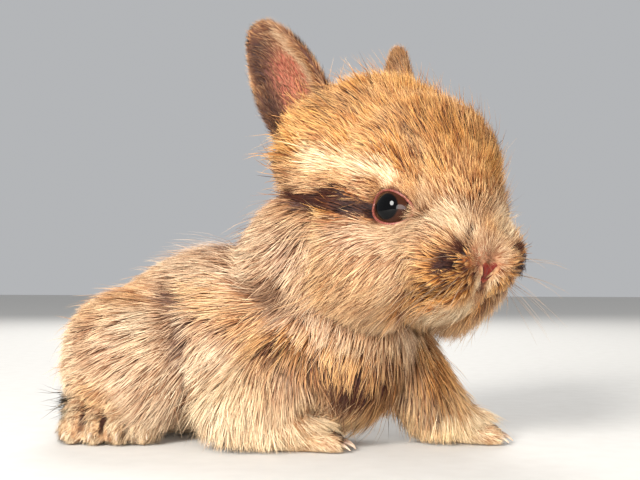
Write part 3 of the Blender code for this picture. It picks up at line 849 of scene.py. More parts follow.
# %% [markdown]
# Fur lies like grass in a stream: it starts at the nose, parts round the eyes, runs back over the
# crown and the cheeks, then down the flanks, and along each leg to the toes. One rule per part gives
# that direction, and the shares blend the rules. Each rule is a few soft steps between directions.

# %% Give the coat its lie
NOSE = np.array((30.0, 0.0, -17.4))
DOWN = np.array((0.0, 0.0, -1.0))
EYE_PARTING = 7.5
TOE_PARTING = 1.8


def head_lie(points):
    """The lie on the head, in the body's frame."""
    head = to_head(points)
    way = unit(head - NOSE)
    way += np.array((-0.45, 0, 0))
    low = smooth(-2, -16, head[:, 2])
    way[:, 2] -= 0.85 * low * smooth(27, 10, head[:, 0])
    for side in (-1, 1):
        ring = head - np.array((EYE_PLACE.x, EYE_PLACE.y * side, EYE_PLACE.z))
        close = np.exp(-((np.linalg.norm(ring, axis=1) / EYE_PARTING) ** 2))
        way += unit(ring) * (close * 2.6)[:, None]
    return head_way(unit(way))


def trunk_lie(points):
    """Back along the trunk, down its flanks and straight down the chest."""
    x, y, z = points.T
    chest = smooth(6, 18, x)
    flank = smooth(40, 16, z)
    haunch = smooth(-20, -32, x)
    fall = -0.2 - 0.95 * flank * (1 - 0.7 * haunch)
    way = np.column_stack((-np.ones(len(x)), np.zeros(len(x)), fall))
    way = unit(way) * (1 - chest)[:, None] + np.array((-0.3, 0, -1.0)) * chest[:, None]
    way[:, 1] += 0.3 * np.sign(y) * smooth(26, 10, z)
    return unit(way)


def leg_lie(points, name):
    """Down the bones of a leg and out over its toes."""
    forward = np.array(toe_heading(name))
    beside = np.cross(forward, DOWN)
    start, _, end, _ = BONES[name][-1]
    over = smooth(3.0, -3.0, (np.array(TOES[name][0]) - points) @ forward)
    shin = unit(np.array(end, float) - np.array(start, float))
    upper = smooth(5, 10, points[:, 2]) * name.startswith("foreleg")
    way = shin * (1 - over)[:, None] + (forward + DOWN * 0.7) * over[:, None]
    for gap in toe_gaps(name):
        off = (points - np.array(gap[0])) @ beside
        way += np.outer(np.sign(off) * groove_at(points, gap, TOE_PARTING) * 0.8, beside)
    return unit(way * (1 - upper)[:, None] + (DOWN + np.array((-0.05, 0, 0))) * upper[:, None])


def ear_lie(points, name):
    """Up the back of an ear and out to its rim; inside, from the deep side up to the outer edge."""
    _, axis, facing, side, _ = ear_axes(name)
    across_ear, _, front = ear_place(points, name)
    across_ear = np.clip(across_ear, -1.2, 1.2)
    inner = smooth(-0.5, 0.8, front) * smooth(1.0, 0.8, np.abs(across_ear))
    turn = across_ear * 0.45 * (1 - inner) - EAR_LEAD[name] * 0.75 * inner
    return head_way(unit(np.array(axis) + np.outer(turn, np.array(side))))


def lie_at(points, share):
    """The lie anywhere on the rabbit: the rules of its parts, blended by their shares."""
    total = np.zeros((len(points), 3))
    for name in part_names:
        if name == "head":
            way = head_lie(points)
        elif name == "trunk":
            way = trunk_lie(points)
        elif name == "tail":
            way = np.tile(unit(np.array((-1.0, 0, 0.5))), (len(points), 1))
        elif name in EARS:
            way = ear_lie(points, name)
        else:
            way = leg_lie(points, name)
        total += way * share[name][:, None]
    return unit(total)


# %% Give the coat its length, lift and width
def nearest_eye(points):
    """How far points are from the middle of the nearer eye."""
    gaps = [np.linalg.norm(points - np.array(eye_middle(side)), axis=1) for side in (-1, 1)]
    return np.minimum(*gaps)


def sizes_at(points, share):
    """Length, lift of the tip and width of a tuft, in millimetres."""
    head = to_head(points)
    f, _, u = head.T
    from_nose = np.linalg.norm(head - NOSE, axis=1)
    near_eye = 1 - smooth(5.6, 9.5, nearest_eye(points))
    back = smooth(0, -17, f - 0.5 * u) * smooth(26, 12, u)
    ruff = back * (0.35 + 0.65 * smooth(-20, -4, u))
    cheek = smooth(0, -12, u) * smooth(24, 10, f)
    crown = smooth(3, 12, u) * share["head"]
    z = points[:, 2]
    fringe = smooth(24, 10, z)
    fluff = shape_at(folded(head), (24, 9, -11), (9, 7, 9))
    mane = shape_at(points, (0, 0, 42), (22, 30, 18))
    foot = smooth(10, 5.5, z)
    over_foot = shape_at(folded(points), (-32, 25, 13), (13, 12, 7))
    head_length = 1.9 + 4.4 * smooth(4, 23, from_nose) + 4.4 * cheek + 7.0 * ruff + 1.8 * fluff
    head_lift = 1.2 + 1.8 * smooth(5, 20, from_nose) + 0.4 * cheek + 2.2 * ruff + 1.6 * crown + 1.3 * fluff
    head_width = 0.145 + 0.075 * smooth(5, 18, from_nose) + 0.05 * ruff
    trunk_length = 9.0 + 4.5 * fringe * (1 - over_foot) + 3.5 * mane - 5.0 * over_foot
    leg = (11.0 - 8.0 * foot, 2.6 - 1.8 * foot, 0.26 - 0.05 * foot)
    kinds = {
        "head": (
            head_length * (1 - 0.6 * near_eye),
            head_lift * (1 - 0.72 * near_eye),
            head_width * (1 - 0.15 * near_eye),
        ),
        "trunk": (trunk_length, 2.6 + 0.6 * fringe + 0.5 * mane, 0.26),
        "tail": (4.2, 1.8, 0.25),
        "foreleg_right": leg,
        "foreleg_left": leg,
        "hind_foot_right": (2.6, 0.8, 0.19),
        "hind_foot_left": (2.6, 0.8, 0.19),
        "ear_right": (2.8, 0.95, 0.16),
        "ear_left": (3.0, 1.1, 0.16),
    }
    total = np.zeros((len(points), 3))
    for name, sizes in kinds.items():
        row = np.column_stack([np.broadcast_to(size, len(points)) for size in sizes])
        total += row * share[name][:, None]
    return total


# %% [markdown]
# The roots are drawn at random over the skin, more of them where the fur is short and fine. Each keeps
# its place, its normal and its shares, all of them read off the triangle that it fell on. None grows
# inside the lids, under the soles, between the toes or on the bare middle of the nose.

# %% Measure the skin's triangles
skin = placed("skin", skin_mesh)
skin_mesh.calc_loop_triangles()
tri_points = np.empty(len(skin_mesh.loop_triangles) * 3, np.int32)
skin_mesh.loop_triangles.foreach_get("vertices", tri_points)
tri_points = tri_points.reshape(-1, 3)
first, second, third = np.moveaxis(skin_points[tri_points], 1, 0)
tri_area = np.linalg.norm(np.cross(second - first, third - first), axis=1) / 2
print(len(tri_points), "triangles cover", round(tri_area.sum()), "square millimetres")

# %% Set how dense the coat is
# Tufts to a square millimetre
DENSITY = {"head": 11.4, "trunk": 4.6, "tail": 5.0, "ear_right": 11.0, "ear_left": 11.0}
LIMB_DENSITY = 7.5
NOSE_BARE = ((0, 0, -20.8), (0, 0, -18.8), (0, 1.1, -17.6))
NOSE_BARE_HALF = 0.9
MUZZLE_FROM = 25
LID_CLEARANCE = 0.12
SOLE_HEIGHT = 0.25

in_head = to_head(skin_points)
density = sum(skin_share[name] * DENSITY.get(name, LIMB_DENSITY) for name in part_names)
density = density * (1 + 0.9 * (1 - smooth(5.5, 9, nearest_eye(skin_points))) * skin_share["head"])
density = density * (1 + 0.9 * smooth(14, 5, np.linalg.norm(in_head - NOSE, axis=1)))
density = density * (1 - 0.2 * smooth(3, 12, in_head[:, 2]) * skin_share["head"])
for name in TOES:
    for gap in toe_gaps(name):
        density = density * (1 - smooth(1.4, 0.9, away_from_path(skin_points, gap)) * skin_share[name])
for name in EARS:
    deep = 1 - smooth(0.3, 0.75, np.abs(ear_place(skin_points, name)[0]))
    bare = ear_inside(skin_points, skin_normals, name) * deep
    density = density * (1 - 0.6 * bare * skin_share[name])
nose_gap = away_from_path(folded(in_head) * (0, 1, 1), NOSE_BARE)
density = density * ((nose_gap > NOSE_BARE_HALF) | (in_head[:, 0] < MUZZLE_FROM))
density = density * (nearest_eye(skin_points) > EYE_RADIUS + LID_CLEARANCE)
density = density * (skin_points[:, 2] > SOLE_HEIGHT)
print("tufts to a square millimetre:", density.mean().round(1), "on average")

# %% Draw the roots of the tufts
TUFT_SHARE = 1.0
rng = np.random.default_rng(41)
weight = tri_area * density[tri_points].min(axis=1)
total_tufts = int(weight.sum() * TUFT_SHARE)
even = (np.arange(total_tufts) + rng.random(total_tufts)) / total_tufts
picks = np.minimum(np.searchsorted(np.cumsum(weight) / weight.sum(), even), len(tri_points) - 1)
corner_shares = rng.dirichlet((1, 1, 1), size=total_tufts)


def at_roots(values):
    """Values of the skin's points, read at the roots."""
    return np.einsum("ij,ij...->i...", corner_shares, values[tri_points[picks]])


roots = at_roots(skin_points)
root_normals = unit(at_roots(skin_normals))
root_share = {name: at_roots(skin_share[name]) for name in part_names}
root_marks = markings_and_painted_shade(roots, root_normals, root_share)
print(total_tufts, "tufts have their roots in the skin")

# %% [markdown]
# For the export each tuft needs a place on a flat map of the skin. The skin is cut into six charts by
# the way its faces look, each chart is laid flat, and the charts stand side by side in the map.

# %% Lay the skin out flat
CHARTS = 3
CHART_SIZE = 130.0
CHART_LOW = np.array((-65.0, -45.0, -5.0))


def flat_places(points, normals):
    """A place in the unit square for each point, on the chart that its normal looks at."""
    axis = np.argmax(np.abs(normals), axis=1)
    sign = np.take_along_axis(normals, axis[:, None], 1)[:, 0] > 0
    chart = axis * 2 + sign
    flat = np.array([(1, 2), (0, 2), (0, 1)])[axis]
    local = (np.take_along_axis(points, flat, 1) - CHART_LOW[flat]) / CHART_SIZE
    local = np.clip(local, 0.01, 0.99) / CHARTS
    local[:, 0] += (chart % CHARTS) / CHARTS
    local[:, 1] += (chart // CHARTS) / CHARTS
    return local


root_places = flat_places(roots, root_normals)
print("the map is used from", root_places.min(axis=0).round(2), "to", root_places.max(axis=0).round(2))

# %% [markdown]
# A tuft leaves the skin along the lie, with some sway of its own. Where the lie would run into the
# skin, as under a thigh, it is kept short. A few stray hairs are thinner and longer and stand off,
# which is what softens the outline of a young animal.

# %% Send every tuft along the lie
STRAYS = 0.05
STRAY_LENGTH = 1.35
STRAY_LIFT = 1.55
STRAY_WIDTH = 0.6

way = lie_at(roots, root_share)
way -= root_normals * np.einsum("ij,ij->i", way, root_normals)[:, None]
flow = smooth(0.2, 0.75, np.linalg.norm(way, axis=1))
way = unit(way + DOWN * (0.5 * (1 - flow))[:, None])
side = np.cross(way, root_normals)
sway = rng.normal(0, 0.2, total_tufts) + 0.3 * waves(roots, 8.0, 9) + 0.18 * waves(roots, 3.5, 10)
damp_here = root_marks[:, 3]
sway += 0.9 * damp_here * waves(roots, 2.5, 11)
way = unit(way + side * sway[:, None])
length, lift, width = sizes_at(roots, root_share).T
length = length * rng.uniform(0.65, 1.25, total_tufts) * (1 + 0.35 * damp_here) * (0.4 + 0.6 * flow)
lift = lift * rng.uniform(0.5, 1.35, total_tufts)
stray = rng.random(total_tufts) < STRAYS
length = np.where(stray, length * STRAY_LENGTH, length)
lift = np.where(stray, lift * STRAY_LIFT, lift)
width = np.where(stray, width * STRAY_WIDTH, width)
print("tufts are", np.percentile(length, (5, 50, 95)).round(1), "mm long")

# %% [markdown]
# A long hair doesn't stick straight out of a round flank: it rests on the coat below it, and only the
# fringes hang free. So the place where each tip would be is brought down towards the skin nearest to
# it: all the way on the ears and the tail, most of the way on the crown, about half of the way on the
# flanks and the legs, and least of all under the jaw.

# %% Rest the tips on the coat
JAW_DROP = 2.8

skin_tree = BVHTree.FromPolygons(skin_points.tolist(), tri_points.tolist())
straight = roots + way * length[:, None]
ground = np.empty((total_tufts, 3))
ground_normal = np.empty((total_tufts, 3))
for i, point in enumerate(straight):
    ground[i], ground_normal[i] = skin_tree.find_nearest(point)[:2]
gap = np.einsum("ij,ij->i", straight - ground, ground_normal)
jaw = smooth(-14, -24, to_head(roots)[:, 2]) * smooth(22, 8, to_head(roots)[:, 0])
on_leg = sum(root_share[name] for name in TOES)
hang = 0.5 * root_share["trunk"] + (0.3 + 0.45 * jaw) * root_share["head"] + 0.55 * on_leg
hang = (hang * (gap > 0))[:, None]
tips = ground * (1 - hang) + straight * hang + unit(ground_normal + root_normals) * lift[:, None]
tips[:, 2] -= JAW_DROP * jaw * root_share["head"]
knees = roots + way * (length * 0.45)[:, None] + root_normals * (lift * 0.8)[:, None]
print("tips that hang at least a little free:", (hang > 0).sum(), "of", total_tufts)

# %% [markdown]
# Hairs stand together in locks, because damp and down make their tips cling. So the tufts are shared
# out among lock centres, and each tip leans towards the middle of its lock, the damp ones most.

# %% Gather the tufts in locks
TUFTS_A_LOCK = 11
LEAN = 0.5
TRUNK_LEAN = 0.12
DAMP_LEAN = 0.9
TIP_HEIGHT = 0.25

chance = 1 / (1 + 2.0 * root_share["trunk"])
lock_count = total_tufts // TUFTS_A_LOCK
chosen = rng.choice(total_tufts, size=lock_count, replace=False, p=chance / chance.sum())
centres = roots[chosen]
lock_tree = KDTree(lock_count)
for i, centre in enumerate(centres):
    lock_tree.insert(centre, i)
lock_tree.balance()
lock = np.array([lock_tree.find(point)[1] for point in roots])
members = np.maximum(np.bincount(lock, minlength=lock_count), 1)[:, None]
middle = np.column_stack([np.bincount(lock, tips[:, k], lock_count) for k in range(3)]) / members
lean = (LEAN + TRUNK_LEAN * root_share["trunk"]) * rng.uniform(0.3, 1.3, total_tufts)
lean = lean * smooth(1.5, 7.0, length) * ~stray
lean = lean + (DAMP_LEAN - lean) * damp_here
tips = tips + (middle[lock] - tips) * lean[:, None]
tips[:, 2] = np.maximum(tips[:, 2], TIP_HEIGHT)
knees[:, 2] = np.maximum(knees[:, 2], TIP_HEIGHT)
print(lock_count, "locks")

# %% [markdown]
# No two hairs have one shade. A tone goes with each tuft, partly its own, partly its lock's and partly
# its patch's, and one tuft in nine is a dark guard hair.

# %% Give every tuft its tone
DARK_HAIRS = 0.11
DARKER = 0.42

lock_tone = rng.random(lock_count)[lock]
patch_tone = 0.5 + 0.5 * waves(roots, 4.5, 12)
tone = np.clip(0.45 * rng.random(total_tufts) + 0.35 * lock_tone + 0.2 * patch_tone, 0, 1)
dark_hairs = (rng.random(total_tufts) < DARK_HAIRS) * (1 - root_marks[:, 2])
root_marks[:, 1] = np.clip(root_marks[:, 1] + DARKER * dark_hairs, 0, 1)
print("dark guard hairs:", (dark_hairs > 0).sum())

# %% [markdown]
# A tuft is a thin three-sided blade with one point. The shortest fur has no bend, most has one and the
# long hair has two. All the blades of a piece are worked out as arrays and put in one mesh, which
# takes seconds where a loop of objects would take hours. Their shading leans a little towards that of
# the skin below them, as light spreads through real fur.

# %% Turn arrays into pieces
FIELDS = {"FLOAT": "value", "FLOAT_COLOR": "color", "FLOAT_VECTOR": "vector"}


def array_mesh(name, points, faces):
    """A mesh from points in millimetres and triangles."""
    mesh = bpy.data.meshes.new(name)
    mesh.vertices.add(len(points))
    mesh.vertices.foreach_set("co", (points * MM + np.array(SHIFT)).ravel())
    mesh.loops.add(faces.size)
    mesh.loops.foreach_set("vertex_index", faces.ravel())
    mesh.polygons.add(len(faces))
    mesh.polygons.foreach_set("loop_start", np.arange(0, faces.size, 3))
    mesh.polygons.foreach_set("use_smooth", np.ones(len(faces), bool))
    mesh.update(calc_edges=True)
    return mesh


def keep(mesh, name, kind, values, domain="POINT"):
    """Keeps values on a mesh, under a name that a finish can read."""
    kept = mesh.attributes.new(name, kind, domain)
    kept.data.foreach_set(FIELDS[kind], np.ascontiguousarray(values, float).ravel())


def keep_marks(mesh, marks):
    """The five maps of the markings and the painted shade, four as one colour and the blush on its own."""
    keep(mesh, "marks", "FLOAT_COLOR", marks[:, :4])
    keep(mesh, "blush", "FLOAT", marks[:, 4])


def finished(name, mesh):
    """The mesh as a piece of the rabbit that rides on its one body."""
    obj = placed(name, mesh)
    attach(obj, "root")
    return obj


# %% Make blades out of arrays
SINK = 0.3
BLADE_FLATNESS = 0.55
BLADE_ROUNDNESS = 1.3
BLADE_GROUND = 0.12
PATCH = 0.003
SOFT_SHADING = 0.24
# Rings of a blade by how far along it they are and their share of its width
RINGS = {
    "down": ((0.0, 1.0),),
    "short": ((0.0, 0.9), (0.5, 0.85)),
    "long": ((0.0, 0.8), (0.38, 1.0), (0.72, 0.66)),
}


def ring_faces(rings):
    """The triangles of one blade, all facing outwards, and which of them are its underside."""
    faces, under = [(0, 1, 2)], [True]
    for k in range(rings - 1):
        for a, b in ((0, 1), (1, 2), (2, 0)):
            low, high = 3 * k, 3 * k + 3
            faces += [(low + a, high + a, low + b), (low + b, high + a, high + b)]
            under += [a == 0, a == 0]
    last = 3 * (rings - 1)
    for a, b in ((0, 1), (1, 2), (2, 0)):
        faces.append((last + a, last + 3, last + b))
        under.append(a == 0)
    return np.array(faces), np.array(under)


def blades(name, chosen, rings, material):
    """One piece of the coat: the chosen tufts as blades with those rings."""
    start = roots[chosen] - root_normals[chosen] * SINK
    knee, tip, up_way = knees[chosen], tips[chosen], root_normals[chosen]
    count, per = len(chosen), 3 * len(rings) + 1
    points, normals, below = (np.empty((count, per, 3)) for _ in range(3))
    strand, places = np.ones((count, per, 4)), np.empty((count, per, 2))
    for k, (s, share) in enumerate(rings):
        centre = start * (1 - s) ** 2 + knee * (2 * s * (1 - s)) + tip * s**2
        tangent = unit((knee - start) * (1 - s) + (tip - knee) * s)
        over = unit(np.cross(tangent, up_way))
        top = np.cross(over, tangent)
        half = (width[chosen] * share / 2)[:, None]
        rise = half * BLADE_FLATNESS
        foot = top * rise * 0.5
        ring = (centre - over * half - foot, centre + over * half - foot, centre + top * rise)
        for c, (corner, aside) in enumerate(zip(ring, (-1, 1, 0))):
            points[:, 3 * k + c] = corner
            normals[:, 3 * k + c] = top + over * (BLADE_ROUNDNESS * aside)
            below[:, 3 * k + c] = over * (BLADE_ROUNDNESS * aside) - top
            places[:, 3 * k + c] = root_places[chosen] + np.array((0.5 * aside, s - 0.5)) * PATCH
        strand[:, 3 * k : 3 * k + 3, 0] = s
    points[:, -1] = tip
    normals[:, -1] = unit(np.cross(unit(np.cross(tip - knee, up_way)), tip - knee))
    below[:, -1] = -normals[:, -1]
    places[:, -1] = root_places[chosen] + np.array((0.0, 0.5)) * PATCH
    strand[:, :, 1] = tone[chosen][:, None]
    strand[:, :, 2] = np.random.default_rng(count).random((count, 1))
    points[:, :, 2] = np.maximum(points[:, :, 2], BLADE_GROUND)
    normals = unit(unit(normals) * (1 - SOFT_SHADING) + up_way[:, None] * SOFT_SHADING)
    one, under = ring_faces(len(rings))
    shading = np.where(under[None, :, None, None], unit(below)[:, one], normals[:, one])
    faces = one[None] + (np.arange(count) * per)[:, None, None]
    mesh = array_mesh(name, points.reshape(-1, 3), faces.reshape(-1, 3))
    keep_marks(mesh, np.repeat(root_marks[chosen], per, axis=0))
    keep(mesh, "strand", "FLOAT_COLOR", strand)
    layer = mesh.uv_layers.new(name="OFBake")
    layer.data.foreach_set("uv", places.reshape(-1, 2)[faces.ravel()].ravel())
    keep(mesh, "custom_normal", "FLOAT_VECTOR", shading, "CORNER")
    mesh.materials.append(material)
    return finished(name, mesh)


# %% [markdown]
# Each hair of an agouti coat is banded: grey-brown at the root, its own colour in the middle, then a
# dark band and a pale tip on some hairs. The darker roots are also painted shade, for the shadow deep
# in a real coat. The coat's finish reads the maps for its colour, the place along the blade for the
# bands, and two numbers of the tuft's own for how strong they are on it. The bare skin of the ears,
# pink with fine veins, shows between the tufts there.

# %% Mix the coat's colours
COAT_COLOURS = {
    "beige": (192, 150, 114),
    "ginger": (214, 138, 52),
    "cream": (254, 236, 202),
    "wet_dark": (92, 38, 14),
    "wet_bright": (255, 176, 84),
    "blush": (206, 140, 110),
    "brown": (110, 76, 54),
    "chestnut": (66, 26, 9),
    "dim_lock": (176, 140, 112),
    "bright_lock": (255, 255, 255),
    # The root colours: partly the agouti's own colour, partly painted shade deep in the coat
    "root": (92, 52, 30),
    "pale_root": (212, 186, 160),
    "band": (96, 52, 24),
    "tip": (250, 226, 192),
    "ginger_tip": (254, 210, 134),
    "vein": (150, 70, 52),
    "bare_skin": (186, 104, 80),
}


def coat_colours(finish, along, tone, other):
    """The colour of hair at a place along it, from the maps."""
    dye = {name: finish.colour(*parts) for name, parts in COAT_COLOURS.items()}
    warm, dark, pale = [finish.part("marks", k) for k in range(3)]
    damp, blush = finish.attribute("marks", 3), finish.attribute("blush", 2)
    hue = finish.mix(warm, dye["beige"], dye["ginger"])
    hue = finish.mix(pale * (tone * 0.7 + 0.65), hue, dye["cream"])
    wet = finish.mix(tone.between(0.28, 0.5), dye["wet_dark"], dye["wet_bright"])
    hue = finish.mix(damp * 0.9, hue, wet)
    hue = finish.mix(blush * 0.6, hue, dye["blush"])
    shade = finish.mix(warm.between(0.15, 0.5), dye["brown"], dye["chestnut"])
    # The darkness map, painted shade included, turns hairs to the brown or chestnut shade
    streak = (dark + tone * 0.5).between(0.5, 1.0)
    hue = finish.mix(streak, hue, shade)
    mood = (tone * 0.6 + other * 0.4).between(0.2, 0.65)
    hue = finish.mix(1.0, hue, finish.mix(mood, dye["dim_lock"], dye["bright_lock"]), "MULTIPLY")
    # Towards the root each hair darkens: partly its own colour, partly painted shade deep in the coat
    root = finish.mix(1.0, hue, finish.mix(pale, dye["root"], dye["pale_root"]), "MULTIPLY")
    hue = finish.mix(along.between(0.1, 0.85), root, hue)
    band = along.between(0.3, 0.6) * other.between(0.78, 0.92) * (warm * 0.5 + 0.3)
    hue = finish.mix(band, hue, dye["band"])
    tip = along.between(0.45, 0.95) * tone * (1 - streak) * 0.85
    return finish.mix(tip, hue, finish.mix(warm, dye["tip"], dye["ginger_tip"]))


coat = Finish("agouti_coat")
strand_along, strand_tone, strand_other = [coat.part("strand", k) for k in range(3)]
coat_hue = coat_colours(coat, strand_along, strand_tone, strand_other)
light = coat.cloud(420.0).between(0.3, 0.7, 0.9, 1.08)
shade = coat.node("ShaderNodeCombineColor", None, {0: light, 1: light, 2: light})
coat_hue = coat.mix(1.0, coat_hue, shade, "MULTIPLY")
coat_rough = strand_along.between(0.0, 1.0, 0.72, 0.42)
coat.set(Base_Color=coat_hue, Roughness=coat_rough, Specular_IOR_Level=0.3)
print("the coat's finish has", len(coat.tree.nodes), "nodes")

# %% Mix the skin's colours
hide = Finish("skin_under_coat")
hide_grain = hide.cloud(900.0, 3.0)
# The skin takes the colours of hair near its root: painted shade in the gaps between the tufts
hide_fur_and_gap_shade = coat_colours(hide, hide_grain * 0.4, hide_grain, hide_grain)
veins = hide.cloud(260.0, 4.0).between(0.35, 0.65)
bare = hide.mix(veins, hide.colour(*COAT_COLOURS["vein"]), hide.colour(*COAT_COLOURS["bare_skin"]))
hide_hue = hide.mix(hide.attribute("blush", 2).between(0.25, 0.8) * 0.85, hide_fur_and_gap_shade, bare)
hide.set(Base_Color=hide_hue, Roughness=0.75, Normal=hide.bump(hide_grain, 0.6, 0.0003))
print("the skin's finish has", len(hide.tree.nodes), "nodes")

# %% Dress the skin
NODES_OF_FLESH = [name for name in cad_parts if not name.startswith("eye")]
keep_marks(skin_mesh, skin_marks)
skin_mesh.vertices.foreach_set("co", (skin_points * MM + np.array(SHIFT)).ravel())
skin_loops = np.empty(len(skin_mesh.loops), np.int32)
skin_mesh.loops.foreach_get("vertex_index", skin_loops)
skin_layer = skin_mesh.uv_layers.new(name="OFBake")
skin_layer.data.foreach_set("uv", flat_places(skin_points, skin_normals)[skin_loops].ravel())
skin_mesh.polygons.foreach_set("use_smooth", np.ones(len(skin_mesh.polygons), bool))
skin_mesh.update()
skin_mesh.materials.clear()
skin_mesh.materials.append(hide.material)
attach(skin, "root")
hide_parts(*NODES_OF_FLESH)
print("the skin stands for", len(NODES_OF_FLESH), "solids")

# %% Grow the coat
# The most triangles of a piece, and the lengths in millimetres where each kind of fur begins
PIECE_TRIANGLES = 180000
DOWN_BELOW = 4.2
LONG_FROM = 13.5
order = np.argsort(roots[:, 0])
lengths = length[order]
kinds_of_fur = {
    "down": order[lengths < DOWN_BELOW],
    "short": order[(lengths >= DOWN_BELOW) & (lengths < LONG_FROM)],
    "long": order[lengths >= LONG_FROM],
}
coat_triangles = 0
for word, chosen in kinds_of_fur.items():
    each = len(ring_faces(len(RINGS[word]))[0])
    pieces = max(1, math.ceil(len(chosen) * each / PIECE_TRIANGLES))
    for k, group in enumerate(np.array_split(chosen, pieces)):
        piece = blades(f"coat_{word}_{k + 1}", group, RINGS[word], coat.material)
    coat_triangles += len(chosen) * each
    print(word, "fur:", len(chosen), "tufts in", pieces, "pieces,", len(chosen) * each, "triangles")
print("the coat has", coat_triangles, "triangles")

# %% [markdown]
# The eye is a wet, nearly black ball with a clear dome in front. The dome is what makes a living eye:
# it catches the sky as one bright patch. A ball is drawn out a little where it looks, and each of its
# points remembers how far it is from the middle of the gaze, so the finish can draw pupil and iris.

# %% Turn the eyes
PUPIL = 0.56
IRIS = 0.84
DOME_SWELL = 0.05


def eye_ball(name, side):
    """The eye, with its dome towards the gaze."""
    bm = bmesh.new()
    bmesh.ops.create_uvsphere(bm, u_segments=64, v_segments=40, radius=1.0)
    turn = Vector(eye_axes(side)[0]).to_track_quat("Z", "Y").to_matrix()
    gaze_of = []
    for vertex in bm.verts:
        gaze_of.append(math.acos(max(-1.0, min(1.0, vertex.co.z))))
        swell = 1 + DOME_SWELL * float(smooth(0.9, 0.3, gaze_of[-1]))
        place = turn @ (vertex.co * EYE_RADIUS * swell) + eye_middle(side)
        vertex.co = place * MM + SHIFT
    mesh = mesh_from(bm, name)
    mesh.polygons.foreach_set("use_smooth", [True] * len(mesh.polygons))
    keep(mesh, "gaze", "FLOAT", gaze_of)
    return finished(name, mesh)


eye_finish = Finish("wet_eye")
gaze_off = eye_finish.attribute("gaze", 2)
streaks = eye_finish.cloud(1400.0, 3.0)
iris = eye_finish.mix(streaks, eye_finish.colour(38, 18, 10), eye_finish.colour(64, 34, 20))
ball = eye_finish.mix(gaze_off.between(PUPIL - 0.06, PUPIL + 0.04), eye_finish.colour(3, 3, 4), iris)
ball = eye_finish.mix(gaze_off.between(IRIS, IRIS + 0.12), ball, eye_finish.colour(18, 8, 6))
eye_finish.set(Base_Color=ball, Roughness=0.04, Specular_IOR_Level=0.18)
for side, word in ((-1, "right"), (1, "left")):
    eye = eye_ball("eyeball_" + word, side)
    eye.data.materials.append(eye_finish.material)
    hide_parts("eye_" + word)
    print(eye.name, "is", 2 * EYE_RADIUS, "mm across")

# %% [markdown]
# The lids are a thin pink rim, nearly round in a rabbit, drawn to a soft point at the front and the
# back corner. It is a bead along a closed line on the eyeball.

# %% Rim the eyes
RIM_BEAD = 0.27
RIM_STAND = 0.12
RIM_STEPS = 96
RIM_SIDES = 10


def lid_rim(name, side):
    """A bead that follows the edge of the lids round the eyeball."""
    look, front, above = eye_axes(side)
    turns = np.linspace(0, 2 * math.pi, RIM_STEPS, endpoint=False)
    off = np.outer(np.cos(turns), front) + np.outer(np.sin(turns), above)
    angles = lid_angle(np.cos(turns), np.sin(turns))[:, None]
    outward = look * np.cos(angles) + off * np.sin(angles)
    centre = outward * (EYE_RADIUS + RIM_STAND)
    tangent = unit(np.roll(centre, -1, axis=0) - np.roll(centre, 1, axis=0))
    sideways = np.cross(outward, tangent)
    bead = RIM_BEAD * (1 + 0.5 * np.abs(np.cos(turns))[:, None] ** 6)
    rows = []
    for j in range(RIM_SIDES):
        a = 2 * math.pi * j / RIM_SIDES
        rows.append(centre + (outward * math.cos(a) + sideways * math.sin(a)) * bead)
    points = np.stack(rows, axis=1).reshape(-1, 3) + np.array(eye_middle(side))
    faces = []
    for i in range(RIM_STEPS):
        for j in range(RIM_SIDES):
            a, b = i * RIM_SIDES + j, i * RIM_SIDES + (j + 1) % RIM_SIDES
            c, d = (a + RIM_SIDES) % len(points), (b + RIM_SIDES) % len(points)
            faces += [(a, b, d), (a, d, c)]
    mesh = array_mesh(name, points, np.array(faces))
    bm = bmesh.new()
    bm.from_mesh(mesh)
    bmesh.ops.recalc_face_normals(bm, faces=bm.faces)
    bm.to_mesh(mesh)
    bm.free()
    return finished(name, mesh)


rim_finish = Finish("pink_lid")
rim_grain = rim_finish.cloud(2200.0)
dark_pink, pink = rim_finish.colour(96, 42, 34), rim_finish.colour(146, 80, 66)
rim_hue = rim_finish.mix(rim_grain.between(0.3, 0.7), dark_pink, pink)
rim_finish.set(Base_Color=rim_hue, Roughness=0.38, Normal=rim_finish.bump(rim_grain, 0.3, 0.0001))
for side, word in ((-1, "right"), (1, "left")):
    rim = lid_rim("lid_rim_" + word, side)
    rim.data.materials.append(rim_finish.material)
    print(rim.name, "has", len(rim.data.polygons), "faces")

# %% [markdown]
# The nose is a small bare triangle with a slit on each side. It is a fine sheet laid on the skin by
# rays from in front, raised in the middle, let into the fur at its edge, and cut by the slits and by
# the cleft between them.

# %% Model the nose
NOSE_HALF = 2.6
NOSE_TOP = -16.5
NOSE_LOW = -21.2
NOSE_COLUMNS = 44
NOSE_ROWS = 40
NOSE_RISE = 0.8
NOSE_SINK = 0.2
SLIT = ((0, 0.65, -19.8), (0, 1.3, -19.0), (0, 1.9, -18.0))
SLIT_HALF = 0.36
SLIT_DEPTH = 0.95
SPLIT_HALF = 0.25
SPLIT_DEPTH = 0.3
IN_FRONT = 60


def nose_half_width(v):
    """Half the width of the nose, from its low point at 0 to its round top at 1."""
    widening = 0.12 + 0.88 * math.sin(min(1.0, v * 1.12) * math.pi / 2) ** 0.9
    rounding = math.sqrt(1 - 0.93 * max(0.0, (v - 0.6) / 0.4) ** 2)
    return NOSE_HALF * widening * rounding


